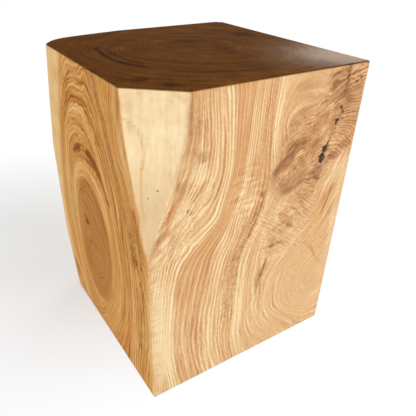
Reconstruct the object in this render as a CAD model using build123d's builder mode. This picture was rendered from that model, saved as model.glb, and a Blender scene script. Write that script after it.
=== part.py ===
from build123d import *
from math import hypot
import os

# Overall size of the block, which stands on its end grain
width = 296
depth = 302
height = 400

# Sanded rounding of every edge, and the softer upright corner at the far right
arris = 2
far_corner_radius = 14

# Facet of natural outer wood at the near left corner: its reach along both faces at the
# top, how far down it runs out, and how steeply it leans into the block at its two ends
facet_on_left = 44
facet_on_front = 52
facet_length = 178
facet_foot_lean = 0.24
facet_top_lean = 0.04

# Two points between the facet's ends, as shares of its depth and of its length
facet_waist = (0.45, 0.36)
facet_shoulder = (0.87, 0.69)

# Rounded natural surface at the far left corner: its reach along both faces at the top,
# how far it slides out of the block for each millimetre of height, and how far out it
# already is at the foot, where it cuts in again
bark_on_left = 44
bark_on_back = 120
bark_lean = 0.2
bark_foot_offset = 9

# The natural surface in plan, as shares of its reach along the back and the left face,
# run on past both faces, and a point outside the corner that closes the waste
bark_curve = [(-0.03, 1.22), (0, 1), (0.17, 0.47), (0.42, 0.25), (1, 0), (1.25, -0.12)]
bark_outside = (-0.25, -0.7)

# Open flaws in the front face, placed from the right face and the foot
large_flaw_from_right = 52
large_flaw_height = 300
large_flaw_depth = 9
small_flaw_from_right = 38
small_flaw_height = 334
small_flaw_depth = 5
flaw_corner_radius = 0.6

# Outlines of the flaws, across and up from the middle of each
large_flaw_outline = [
    (8, 18),
    (6.5, 8),
    (5.5, 0),
    (2, -4),
    (4, -10),
    (0, -17),
    (-5, -15),
    (-6, -6),
    (-2, -1),
    (-3, 5),
    (3.5, 8),
]
small_flaw_outline = [(-3, 3), (1, 3.5), (5, 2), (1.5, -1), (0.5, -4), (-2.5, -3.5)]
flaws = [
    (large_flaw_from_right, large_flaw_height, large_flaw_depth, large_flaw_outline),
    (small_flaw_from_right, small_flaw_height, small_flaw_depth, small_flaw_outline),
]

left, right = -width / 2, width / 2
front, back = -depth / 2, depth / 2

# The facet is ruled along the straight line that it makes across the top, so one upright
# profile, square to that line, gives its whole surface
facet_reach = hypot(facet_on_left, facet_on_front)
facet_depth = facet_on_left * facet_on_front / facet_reach
facet_inward = Vector(facet_on_left, facet_on_front).normalized()
facet_along = Vector(facet_inward.Y, -facet_inward.X)
facet_plane = Plane(
    origin=Vector(left, front) - facet_along * facet_reach,
    x_dir=facet_inward,
    z_dir=facet_along,
)
facet_foot = height - facet_length
facet_overrun = 0.2 * facet_depth

# The natural surface at the far left keeps its outline in plan and slides straight out
# of the corner, so two slanted prisms of waste leave it
bark_outward = Vector(-bark_on_left, bark_on_back).normalized()
bark_depth = bark_on_left * bark_on_back / hypot(bark_on_left, bark_on_back)
bark_run = bark_depth / bark_lean


def on_facet(depth_share, length_share):
    """A point of the facet's upright profile, from shares of its depth and length."""
    return (depth_share * facet_depth, facet_foot + length_share * facet_length)


def at_far_left(back_share, left_share):
    """A point in plan, by its shares of the two reaches from the far left corner."""
    return (left + back_share * bark_on_back, back - left_share * bark_on_left)


def bark_waste():
    """The waste outside the natural surface in plan, closed round the corner."""
    curve = [at_far_left(*share) for share in bark_curve]
    with BuildLine() as outline:
        Spline(*curve)
        Polyline(curve[-1], at_far_left(*bark_outside), curve[0])
    return outline.line


def flaw_edge(from_right, middle_height, outline):
    """The ragged outline of a flaw on the front face, closed."""
    across = right - from_right
    with BuildLine() as edge:
        Polyline(*[(across + x, middle_height + z) for x, z in outline], close=True)
    return edge.line


with BuildPart() as wood_block:
    # Sawn prism with its one softened upright corner
    with BuildSketch():
        Rectangle(width, depth)
    extrude(amount=height)
    upright_right = wood_block.edges().filter_by(Axis.Z).sort_by(Axis.X)[-2:]
    fillet(upright_right.sort_by(Axis.Y)[-1], radius=far_corner_radius)

    # Near left facet, from the foot of its profile round the waste outside the corner
    with BuildSketch(facet_plane):
        with BuildLine():
            foot, top = on_facet(0, 0), on_facet(1, 1)
            below = (-facet_overrun, facet_foot - facet_overrun / facet_foot_lean)
            above = (facet_depth, height + facet_overrun)
            Line(below, foot)
            Spline(
                foot,
                on_facet(*facet_waist),
                on_facet(*facet_shoulder),
                top,
                tangents=[(facet_foot_lean, 1), (facet_top_lean, 1)],
            )
            Polyline(top, above, (below[0], above[1]), below)
        make_face()
    extrude(amount=2 * facet_reach, mode=Mode.SUBTRACT)

    # Far left natural surface, cut down from the top and up from the foot
    with BuildSketch(Plane.XY.offset(height)):
        add(bark_waste())
        make_face()
    downward = bark_outward * bark_lean - Vector(0, 0, 1)
    extrude(amount=bark_run, dir=downward, mode=Mode.SUBTRACT)
    with BuildSketch():
        with Locations(bark_outward * bark_foot_offset):
            add(bark_waste())
        make_face()
    upward = bark_outward * bark_lean + Vector(0, 0, 1)
    extrude(amount=bark_run, dir=upward, mode=Mode.SUBTRACT)

    # Every edge is sanded round
    fillet(wood_block.edges(), radius=arris)

    # Open flaws sunk into the front face
    front_face = Plane(origin=(0, front, 0), x_dir=(1, 0, 0), z_dir=(0, -1, 0))
    for from_right, middle_height, flaw_depth, outline in flaws:
        with BuildSketch(front_face):
            add(flaw_edge(from_right, middle_height, outline))
            make_face()
            fillet(vertices(), radius=flaw_corner_radius)
        extrude(amount=-flaw_depth, mode=Mode.SUBTRACT)

wood_block.part.label = "wood_block"

os.makedirs("parts", exist_ok=True)
export_step(wood_block.part, "parts/wood_block.step")
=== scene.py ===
# %% [markdown]
# # A block of figured hardwood that stands on end
#
# This lesson dresses one solid block of wood. The block was sawn from a short length of
# trunk, so four of its sides are long grain and its two ends are end grain. Two of its
# upright corners reached past the round of the trunk, and there the natural surface that
# lay under the bark still shows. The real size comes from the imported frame, in metres, and
# nothing here changes it.
#
# The order is: the frame, the camera, the room, the skin of the block, the growth rings,
# the painted figure, the finish, and last the hand over to the frame.

from math import cos, pi, radians, sin

import bmesh
import bpy
import numpy as np
from mathutils import Matrix, Vector, noise
from mathutils.bvhtree import BVHTree
from mathutils.geometry import delaunay_2d_cdt


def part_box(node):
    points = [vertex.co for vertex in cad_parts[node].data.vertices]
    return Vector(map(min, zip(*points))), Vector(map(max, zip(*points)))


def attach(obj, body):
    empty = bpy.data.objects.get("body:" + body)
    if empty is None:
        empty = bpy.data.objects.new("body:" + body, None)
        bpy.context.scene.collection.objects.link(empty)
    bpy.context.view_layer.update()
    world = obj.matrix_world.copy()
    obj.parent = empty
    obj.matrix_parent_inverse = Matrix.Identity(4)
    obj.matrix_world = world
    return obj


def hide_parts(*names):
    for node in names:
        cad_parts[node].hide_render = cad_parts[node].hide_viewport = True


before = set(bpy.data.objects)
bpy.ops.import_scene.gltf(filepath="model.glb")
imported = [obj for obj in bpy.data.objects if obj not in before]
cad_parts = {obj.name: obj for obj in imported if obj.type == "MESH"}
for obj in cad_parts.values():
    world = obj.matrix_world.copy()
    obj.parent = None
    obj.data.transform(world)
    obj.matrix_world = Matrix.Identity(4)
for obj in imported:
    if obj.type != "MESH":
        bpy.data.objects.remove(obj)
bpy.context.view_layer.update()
block_low, block_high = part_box("wood_block")
mm = 0.001
width, depth, height = [side / mm for side in block_high - block_low]
print(f"block {width:.1f} wide, {depth:.1f} deep, {height:.1f} high, in millimetres")

# %% [markdown]
# ## Camera
#
# The photograph looks down on the near left corner from about the height of a person who
# bends over the block. Straight edges of the block were measured in the picture, and the
# place, the direction, the small roll and the lens below come from fitting them. The lens
# sits a little off the middle of the frame, which the two shift values give back.

# %% The camera at the photograph's place
picture_size = 416
sensor = 36.0
focal_pixels = 454.1
middle_of_lens = (196.3, 228.1)
camera_azimuth, camera_elevation, camera_roll = radians(-33.28), radians(33.13), radians(1.2)
camera_from_corner = Vector((-0.1668, -0.3471, 0.5202))


def look_axes(azimuth, elevation, roll):
    """Right, up and backward directions of a camera, as the columns of its rotation."""
    backward = Vector((sin(azimuth) * cos(elevation), -cos(azimuth) * cos(elevation), sin(elevation)))
    level_right = (-backward).cross(Vector((0, 0, 1))).normalized()
    level_up = level_right.cross(-backward)
    right = level_right * cos(roll) + level_up * sin(roll)
    up = level_up * cos(roll) - level_right * sin(roll)
    return Matrix((right, up, backward)).transposed()


camera_data = bpy.data.cameras.new("Camera")
camera_data.sensor_width = sensor
camera_data.lens = focal_pixels * sensor / picture_size
camera_data.shift_x = (picture_size / 2 - middle_of_lens[0]) / picture_size
camera_data.shift_y = (middle_of_lens[1] - picture_size / 2) / picture_size
camera = bpy.data.objects.new("Camera", camera_data)
camera.matrix_world = Matrix.Translation(block_low + camera_from_corner) @ look_axes(
    camera_azimuth, camera_elevation, camera_roll
).to_4x4()
bpy.context.scene.collection.objects.link(camera)
bpy.context.scene.camera = camera
print(f"camera at {tuple(round(c, 3) for c in camera.location)}, lens {camera_data.lens:.1f} mm")

# %% [markdown]
# ## Room
#
# The background of the picture is white, with a soft grey shadow on the floor. A large
# pale floor takes the shadow. The world is plain white for every ray that leaves the
# camera or a reflection, and a dimmer, even white for the light that falls on the block,
# so that the colours come out about as they are written. There are three large, soft lamps.
# The main one stands to the right in front, a weaker one at the left, and a warm one behind
# the right corner, which gives the sheen across the end grain. The floor could catch the
# shadow only, but here it stays a real floor, and its share of white grows with the distance
# from the shadow, so that it fades into the background.

# %% A node helper, and the white world
def add_node(tree, kind, inputs=None, **settings):
    """One node, its settings, and its inputs by name or number, as values or as links."""
    made = tree.nodes.new(kind)
    for name, value in settings.items():
        setattr(made, name, value)
    for name, value in (inputs or {}).items():
        if isinstance(value, bpy.types.NodeSocket):
            tree.links.new(value, made.inputs[name])
        else:
            made.inputs[name].default_value = value
    return made


world_light = 0.62
world = bpy.data.worlds.new("White room")
world.use_nodes = True
world_tree = world.node_tree
world_tree.nodes.clear()
ray = add_node(world_tree, "ShaderNodeLightPath").outputs


def either_ray(first, second):
    """One for a ray of either of two kinds, and nothing for the others."""
    return add_node(world_tree, "ShaderNodeMath", {0: first, 1: second}, operation="MAXIMUM").outputs[0]


seen_or_mirrored = either_ray(ray["Is Camera Ray"], ray["Is Glossy Ray"])
straight_ray = either_ray(seen_or_mirrored, ray["Is Transmission Ray"])
light_mix = add_node(world_tree, "ShaderNodeMix", {"Factor": straight_ray, "A": world_light, "B": 1.0})
brightness = light_mix.outputs[0]
white_world = add_node(world_tree, "ShaderNodeBackground", {"Color": (1, 1, 1, 1), "Strength": brightness})
add_node(world_tree, "ShaderNodeOutputWorld", {"Surface": white_world.outputs[0]})
bpy.context.scene.world = world
bpy.context.scene.view_settings.view_transform = "Standard"
print("world light", world_light)

# %% The floor
floor_size = 40.0
floor_drop = 0.0002
floor_white = (0.908, 0.94, 0.972, 1)
floor_corners = [(x * floor_size / 2, y * floor_size / 2, 0) for x, y in ((-1, -1), (1, -1), (1, 1), (-1, 1))]
floor_mesh = bpy.data.meshes.new("Floor")
floor_mesh.from_pydata(floor_corners, [], [(0, 1, 2, 3)])
floor = bpy.data.objects.new("Floor", floor_mesh)
floor.location.z = -floor_drop
bpy.context.scene.collection.objects.link(floor)
floor_paint = bpy.data.materials.new("Pale floor")
floor_paint.use_nodes = True
floor_tree = floor_paint.node_tree
floor_shader = floor_tree.nodes["Principled BSDF"]
floor_shader.inputs["Base Color"].default_value = floor_white
floor_shader.inputs["Roughness"].default_value = 0.9
floor_shader.inputs["Specular IOR Level"].default_value = 0.1
floor_mesh.materials.append(floor_paint)
print(f"floor {floor_size:.0f} m across")

# %% White mixed into the floor, least of it in the shadow behind the block
shadow_middle = (-0.2, 0.3, 0.0)
shadow_near, shadow_far = 0.1, 0.46
least_white, most_white = 0.21, 1.0
floor_place = add_node(floor_tree, "ShaderNodeTexCoord").outputs["Object"]
from_shadow = add_node(floor_tree, "ShaderNodeVectorMath", {0: floor_place, 1: shadow_middle},
                       operation="DISTANCE").outputs["Value"]
whiteness = add_node(floor_tree, "ShaderNodeMapRange",
                     {"Value": from_shadow, "From Min": shadow_near, "From Max": shadow_far,
                      "To Min": least_white, "To Max": most_white}).outputs[0]
floor_ray = add_node(floor_tree, "ShaderNodeLightPath").outputs["Is Camera Ray"]
white_share = add_node(floor_tree, "ShaderNodeMath", {0: whiteness, 1: floor_ray},
                       operation="MULTIPLY").outputs[0]
glow = add_node(floor_tree, "ShaderNodeEmission", {"Color": (1, 1, 1, 1), "Strength": 1.0}).outputs[0]
mixed_inputs = {0: white_share, 1: floor_shader.outputs[0], 2: glow}
seen_floor = add_node(floor_tree, "ShaderNodeMixShader", mixed_inputs)
floor_tree.links.new(seen_floor.outputs[0], floor_tree.nodes["Material Output"].inputs["Surface"])
print(f"floor from {least_white:.2f} to {most_white:.2f} white for the camera")


# %% The lamps
def soft_light(name, stand, target, breadth, watts, tint):
    """A large square lamp that stands at a place, turned to face a target."""
    lamp = bpy.data.lights.new(name, "AREA")
    lamp.shape = "SQUARE"
    lamp.size = breadth
    lamp.energy = watts
    lamp.color = tint
    holder = bpy.data.objects.new(name, lamp)
    holder.location = stand
    holder.rotation_euler = (Vector(target) - Vector(stand)).to_track_quat("-Z", "Y").to_euler()
    bpy.context.scene.collection.objects.link(holder)


middle_of_block = (0, 0, height * mm / 2)
lamps = [
    # name, where it stands, breadth, watts, tint
    ("Main light", (0.5, -1.6, 1.3), 1.2, 13.2, (1.0, 1.0, 1.0)),
    ("Left light", (-1.9, -0.7, 1.0), 1.2, 8.8, (1.0, 1.0, 1.0)),
    ("Sheen light", (1.3, 1.0, 1.0), 1.0, 9.0, (1.0, 0.86, 0.68)),
]
for lamp_name, stand, breadth, watts, tint in lamps:
    soft_light(lamp_name, stand, middle_of_block, breadth, watts, tint)
print(len(lamps), "lamps")

# %% [markdown]
# ## Skin of the block
#
# The frame holds the exact solid, but its mesh has only a few large triangles on each flat
# face. The growth rings below are stored on the mesh's own points, so the skin needs
# points every few millimetres. It could be cut from the solid by remeshing, which blunts
# the edges. Here it is laid on by rule instead: stations go round the outline in plan, and
# the same stations are repeated at each height, so that the lines of points run along
# every edge. Each point is then settled onto the nearest place of the solid, which gives
# the skin the solid's own rounded edges and natural corners.
#
# Places are given in millimetres from the left face, the front face and the foot.

# %% Places on the block, and the solid to settle on
corner = Vector(block_low)
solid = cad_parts["wood_block"]
solid_points = [point.co for point in solid.data.vertices]
solid_tree = BVHTree.FromPolygons(solid_points, [face.vertices for face in solid.data.polygons])


def in_metres(places):
    """Block places in millimetres, as points of the frame in metres."""
    return np.asarray(places, float) * mm + np.array(corner)


def solid_along(inner_place, direction):
    """How far a ray from a place inside the block runs before it leaves the solid, in millimetres."""
    start = Vector(in_metres(inner_place))
    hit = solid_tree.ray_cast(start, Vector(direction).normalized())
    return hit[3] / mm


print(f"solid of {len(solid_points)} points to settle on")

# %% A smooth curve through a few points
def smooth_through(given_points, count):
    """A natural cubic curve through a few points, sampled evenly in its parameter."""
    given_points = np.asarray(given_points, float)
    steps = np.hypot(*np.diff(given_points, axis=0).T)
    stops = np.concatenate([[0], np.cumsum(steps)])
    slopes = np.diff(given_points, axis=0) / steps[:, None]
    many = len(given_points)
    system = np.eye(many)
    right_side = np.zeros((many, 2))
    for i in range(1, many - 1):
        system[i, i - 1 : i + 2] = steps[i - 1], 2 * (steps[i - 1] + steps[i]), steps[i]
        right_side[i] = 6 * (slopes[i] - slopes[i - 1])
    bend = np.linalg.solve(system, right_side)
    at = np.linspace(0, stops[-1], count)
    i = np.clip(np.searchsorted(stops, at, side="right") - 1, 0, many - 2)
    after, before, step = (at - stops[i])[:, None], (stops[i + 1] - at)[:, None], steps[i][:, None]
    return (
        (bend[i] * before**3 + bend[i + 1] * after**3) / (6 * step)
        + (given_points[i] / step - bend[i] * step / 6) * before
        + (given_points[i + 1] / step - bend[i + 1] * step / 6) * after
    )


# Reach of the natural surface at the far left along the back and the left face, as the solid has it
bark_reach = np.array([120.0, 44.0])
bark_shares = [(-0.03, 1.22), (0, 1), (0.17, 0.47), (0.42, 0.25), (1, 0), (1.25, -0.12)]
bark_places = [(back * bark_reach[0], depth - left * bark_reach[1]) for back, left in bark_shares]
bark_curve = smooth_through(bark_places, 400)
print(f"natural surface in plan: a curve of {len(bark_curve)} points")

# %% The two natural corners at any height
facet_reach = np.array([44.0, 52.0])
facet_inward = facet_reach / np.hypot(*facet_reach)
bark_outward = np.array([-bark_reach[1], bark_reach[0]]) / np.hypot(*bark_reach)
bark_lean = 0.2
bark_foot_offset = 9.0
least_leg = 2.0
probe_depth = 60.0
end_clearance = 2.6


def facet_legs(z):
    """How far the facet reaches from the near left corner along the left and the front face."""
    between_ends = min(max(z, end_clearance), height - end_clearance)
    start = (*(facet_inward * probe_depth), between_ends)
    cut = probe_depth - solid_along(start, (*(-facet_inward), 0))
    legs = cut / (facet_reach[0] * facet_reach[1] / np.hypot(*facet_reach)) * facet_reach
    return np.maximum(legs, least_leg)


def bark_edge(z, count):
    """The natural surface at the far left in plan, from the back face round to the left face."""
    slide = min(bark_lean * (height - z), bark_foot_offset + bark_lean * z)
    curve = bark_curve + slide * bark_outward
    inside = curve[(curve[:, 0] > 0) & (curve[:, 1] < depth)]
    back_end, left_end = np.array([least_leg, depth]), np.array([0.0, depth - least_leg])
    if len(inside) > 2:
        back_end[0] = max(inside[-1, 0], least_leg)
        left_end[1] = min(inside[0, 1], depth - least_leg)
        line = inside[::-1]
    else:
        line = np.array([back_end, left_end])
    line = np.vstack([back_end, line[1:-1], left_end])
    along = np.concatenate([[0], np.cumsum(np.hypot(*np.diff(line, axis=0).T))])
    even = np.linspace(0, along[-1], count)
    return np.column_stack([np.interp(even, along, line[:, k]) for k in range(2)])


print("facet legs at the top:", np.round(facet_legs(height), 1))

# %% Stations round the block
# Distances of the stations from a sawn corner, from the rounded one, and from a blunt natural one
square_steps = [2.6, 2.0, 1.2, 0.55, 0.0]
round_steps = [15.2, 14.0, 11.5, 9.0, 6.5, 4.2, 2.0, 0.0]
blunt_steps = [1.3, 0.75, 0.35, 0.0]
full_blunt_leg = 6.0
front_stations, right_stations, back_stations, left_stations = 124, 64, 58, 86
facet_stations, bark_stations = 20, 40


def corner_stations(before, corner_place, after, steps):
    """Stations closing in on a corner from one side, and leaving it on the other."""
    arriving, leaving = (
        (side_place - corner_place) / np.hypot(*(side_place - corner_place)) for side_place in (before, after)
    )
    closing_in = [corner_place + arriving * step for step in steps]
    return np.array(closing_in + [corner_place + leaving * step for step in steps[-2::-1]])


def blunt_for(leg):
    """The steps at a blunt corner, closer together where the natural surface has run out."""
    return [step * min(1.0, leg / full_blunt_leg) for step in blunt_steps]


def outline(z):
    """The stations round the block in plan at one height, counter-clockwise from the facet."""
    leg_left, leg_front = facet_legs(z)
    facet_left, facet_front = np.array([0, leg_left]), np.array([leg_front, 0])
    bark = bark_edge(z, bark_stations)
    front_right, back_right = np.array([width, 0]), np.array([width, depth])
    blunt, bark_blunt = blunt_for(leg_left), blunt_for(depth - bark[-1][1])
    corners = [
        corner_stations(facet_left, facet_front, front_right, blunt),
        corner_stations(facet_front, front_right, back_right, square_steps),
        corner_stations(front_right, back_right, bark[0], round_steps),
        corner_stations(back_right, bark[0], bark[1], bark_blunt),
        corner_stations(bark[-2], bark[-1], facet_left, bark_blunt),
        corner_stations(bark[-1], facet_left, facet_front, blunt),
    ]
    counts = [front_stations, right_stations, back_stations, None, left_stations, facet_stations]
    loop = []
    for here, following, count in zip(corners, corners[1:] + corners[:1], counts):
        loop.append(here)
        if count is None:
            loop.append(bark[1:-1])
        else:
            share = np.linspace(0, 1, count + 2)[1:-1, None]
            loop.append(here[-1] * (1 - share) + following[0] * share)
    return np.vstack(loop)


print("stations round the block:", len(outline(height / 2)), len(outline(height)))

# %% Rows of stations
row_spacing = 3.05
middle_rows = int(round((height - 2 * square_steps[0]) / row_spacing))
row_heights = np.concatenate([
    square_steps[::-1],
    np.linspace(square_steps[0], height - square_steps[0], middle_rows + 1)[1:-1],
    height - np.array(square_steps),
])
rows = [outline(z) for z in row_heights]
around = len(rows[0])
print(f"{len(rows)} rows of {around} stations")

# %% Points to cover the two ends
end_spacing = 3.6
end_margin = 5.6
middle_of_plan = np.array([width / 2, depth / 2])


def drawn_in(loop, distance):
    """A loop drawn in towards the middle of the block by a distance at the faces."""
    return middle_of_plan + (loop - middle_of_plan) * (1 - distance / middle_of_plan[0])


def inside_loop(flat_points, loop):
    """Which points lie inside a closed loop, by counting crossings."""
    start, stop = loop, np.roll(loop, -1, axis=0)
    x, y = flat_points[:, :1], flat_points[:, 1:]
    level_with = (start[:, 1] > y) != (stop[:, 1] > y)
    rise = np.where(stop[:, 1] == start[:, 1], 1e-9, stop[:, 1] - start[:, 1])
    crossing = start[:, 0] + (y - start[:, 1]) / rise * (stop[:, 0] - start[:, 0])
    return (level_with & (x < crossing)).sum(axis=1) % 2 == 1


def end_cover(loop):
    """Points and triangles that cover one end inside its innermost loop."""
    grid_x, grid_y = np.meshgrid(np.arange(0, width, end_spacing), np.arange(0, depth, end_spacing))
    grid_x[::2] += end_spacing / 2
    grid = np.column_stack([grid_x.ravel(), grid_y.ravel()])
    grid = grid[inside_loop(grid, drawn_in(loop, end_margin - square_steps[0]))]
    end_points = [Vector(point) for point in np.vstack([loop, grid])]
    rim = [(i, (i + 1) % len(loop)) for i in range(len(loop))]
    found = delaunay_2d_cdt(end_points, rim, [], 1, 1e-6)
    if len(found[0]) != len(end_points):
        raise ValueError("two stations of an end lie on each other")
    return grid, [tuple(face) for face in found[2]]


print(f"points every {end_spacing} mm over each end")

# %% The skin as places and faces
loops, faces = [], []
for plan, z in zip(rows, row_heights):
    loops.append(np.column_stack([plan, np.full(around, z)]))


def ring_of_faces(lower_start, upper_start, upward):
    """The faces between two loops of stations, turned to face outwards."""
    for i in range(around):
        following = (i + 1) % around
        quad = (lower_start + i, lower_start + following, upper_start + following, upper_start + i)
        faces.append(quad if upward else quad[::-1])


for row in range(len(rows) - 1):
    ring_of_faces(row * around, (row + 1) * around, True)
total = around * len(rows)
for row, z in ((len(rows) - 1, height), (0, 0.0)):
    rim_start, upward = row * around, z > 0
    for distance in square_steps[-2::-1]:
        loop = drawn_in(rows[row], distance)
        loops.append(np.column_stack([loop, np.full(around, z)]))
        ring_of_faces(rim_start, total, upward)
        rim_start, total = total, total + around
    grid, triangles_of_end = end_cover(loop)
    loops.append(np.column_stack([grid, np.full(len(grid), z)]))
    for triangle in triangles_of_end:
        turned = [rim_start + i if i < around else total + i - around for i in triangle]
        faces.append(turned if upward else turned[::-1])
    total += len(grid)
places = np.vstack(loops)
print(f"skin: {len(places)} points, {len(faces)} faces")

# %% Settle the skin on the solid
flaw_zone_x, flaw_zone_z = (232.0, 268.0), (279.0, 343.0)
on_the_face = 0.01


def in_flaw_zone(block_places):
    """Which places of the front face lie round the open flaws, where the skin stays flat."""
    x, y, z = block_places.T
    across_flaws = (x > flaw_zone_x[0]) & (x < flaw_zone_x[1])
    return (y < on_the_face) & across_flaws & (z > flaw_zone_z[0]) & (z < flaw_zone_z[1])


skin_points = in_metres(places)
furthest_move = 0.0
for i in np.flatnonzero(~in_flaw_zone(places)):
    settled_at, _, _, move = solid_tree.find_nearest(Vector(skin_points[i]))
    furthest_move = max(furthest_move, move / mm)
    skin_points[i] = settled_at
skin_mesh = bpy.data.meshes.new("skin")
skin_mesh.from_pydata(skin_points.tolist(), [], [tuple(map(int, face)) for face in faces])
print(f"settled, with no point moved more than {furthest_move:.2f} mm")

# %% [markdown]
# The open flaws have ragged walls a few millimetres deep. The skin is divided more finely
# round them, so that the walls have points of their own to stand on.

# %% Finer skin round the flaws
flaw_divisions = 3
work = bmesh.new()
work.from_mesh(skin_mesh)
work.faces.ensure_lookup_table()
centres = (np.array([face.calc_center_median() for face in work.faces]) - np.array(corner)) / mm
near_flaws = np.flatnonzero(in_flaw_zone(centres))
flaw_edges = list(dict.fromkeys(edge for i in near_flaws for edge in work.faces[i].edges))
bmesh.ops.subdivide_edges(work, edges=flaw_edges, cuts=flaw_divisions, use_grid_fill=True)
work.to_mesh(skin_mesh)
work.free()
points_in_metres = np.zeros(len(skin_mesh.vertices) * 3)
skin_mesh.vertices.foreach_get("co", points_in_metres)
points = (points_in_metres.reshape(-1, 3) - np.array(corner)) / mm
print(f"{len(points)} points after the finer skin")

# %% [markdown]
# ## Growth rings
#
# The lines on every side of a block are one thing seen from six sides: the shells of wood
# that the tree laid down, cut by the saw. So there is one count of the rings, a smooth
# number in space that grows towards the pith, and each line on a face is where the count
# has one value. A plain round tree gives the start. Where the photograph shows how the
# lines really run, a few guide rings are drawn on the faces, each with its count,
# and a smooth correction bends the plain tree to them. A texture laid on each face by
# itself could not carry its lines round an edge, as this does. The photograph shows neither
# the right face nor the back, so their guides are a guess that carries the rings on in long
# upright lines.

# %% Faces as flat drawings
def on_face(face, across, up):
    """The block place of a point drawn on one face."""
    return {
        "front": (across, 0.0, up),
        "left": (0.0, depth - across, up),
        "right": (width, across, up),
        "back": (width - across, depth, up),
        "top": (across, up, height),
        "foot": (across, up, 0.0),
    }[face]


def seen_on(face, points):
    """Across, up and depth below the face, for block places drawn on one face."""
    x, y, z = points.T
    return {
        "front": (x, z, y),
        "left": (depth - y, z, x),
        "right": (y, z, width - x),
        "back": (width - x, z, depth - y),
        "top": (x, y, height - z),
        "foot": (x, y, z),
    }[face]


# %% Guide rings on the front, from left to right
front_rings = [
    # count, line
    (53, [(52, 400), (50, 373), (47, 346), (40, 324), (35, 306), (26, 285), (16, 262), (4, 235)]),
    (76, [(72, 400), (74, 375), (76, 350), (75, 318), (66, 296), (52, 278), (38, 262), (24, 240),
          (12, 215), (5, 190), (1, 160)]),
    (86, [(82, 400), (85, 375), (87, 345), (85, 312), (79, 290), (66, 272), (50, 258), (36, 244),
          (24, 220), (17, 190), (12, 160), (9, 125), (9, 90), (12, 50), (15, 20)]),
    (94, [(92, 395), (96, 350), (98, 320), (95, 300), (87, 275), (80, 260), (65, 250), (50, 237),
          (40, 225), (30, 210), (25, 187), (21, 162), (19, 137), (18, 112), (18, 75), (21, 37), (25, 2)]),
    (104, [(108, 390), (110, 350), (110, 318), (107, 298), (102, 277), (96, 252), (82, 237), (62, 220),
           (50, 207), (41, 187), (37, 162), (34, 130), (31, 100), (32, 62), (37, 25), (42, 2)]),
    (123, [(124, 375), (122, 337), (120, 312), (117, 287), (110, 265), (103, 240), (92, 225), (80, 210),
           (75, 195), (71, 175), (66, 150), (61, 125), (59, 100), (59, 75), (61, 50), (66, 25), (71, 2)]),
    (132, [(132, 375), (131, 325), (127, 300), (122, 275), (117, 260), (112, 240), (107, 220), (100, 205),
           (92, 187), (86, 162), (84, 137), (81, 112), (80, 87), (81, 50), (86, 25), (91, 2)]),
    (140, [(141, 400), (140, 337), (135, 300), (130, 270), (125, 250), (120, 225), (111, 205), (105, 187),
           (100, 162), (98, 137), (96, 112), (95, 87), (96, 50), (101, 25), (106, 2)]),
    (155, [(156, 400), (154, 350), (155, 320), (158, 295), (156, 268), (150, 240), (135, 215), (125, 200),
           (120, 180), (119, 140), (118, 100), (117, 60), (120, 30), (126, 2)]),
    (166, [(172, 268), (165, 248), (158, 228), (150, 205), (140, 180), (136, 162), (135, 137), (134, 112),
           (135, 87), (136, 50), (142, 25), (147, 2)]),
    (176, [(200, 282), (188, 262), (178, 245), (170, 225), (160, 200), (152, 180), (150, 160), (150, 140),
           (150, 100), (152, 77), (160, 55), (170, 37), (185, 20), (195, 2)]),
    (186, [(290, 287), (276, 258), (262, 230), (248, 204), (232, 184), (215, 170), (202, 159), (190, 150),
           (180, 142), (173, 125), (172, 100), (175, 77), (182, 57), (197, 37), (212, 17), (225, 2)]),
    (193, [(292, 262), (276, 232), (260, 204), (244, 182), (225, 163), (212, 152), (197, 140), (190, 130),
           (185, 112), (185, 87), (192, 67), (210, 50), (230, 30), (250, 10)]),
    (200, [(290, 232), (272, 200), (252, 170), (232, 152), (215, 140), (204, 125), (200, 100), (202, 80),
           (212, 62), (230, 45), (250, 30), (270, 22)]),
    (208, [(290, 200), (270, 170), (250, 148), (232, 130), (222, 115), (220, 95), (226, 75), (240, 57),
           (252, 47), (270, 45)]),
    (214, [(290, 168), (265, 142), (245, 122), (237, 105), (237, 82), (242, 70), (250, 62), (260, 57),
           (270, 62)]),
    (221, [(288, 140), (268, 122), (256, 108), (254, 92), (262, 82), (275, 84)]),
    (172, [(173, 345), (177, 360), (185, 370), (200, 377), (225, 375)]),
]
print(len(front_rings), "guide rings on the front")

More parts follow.
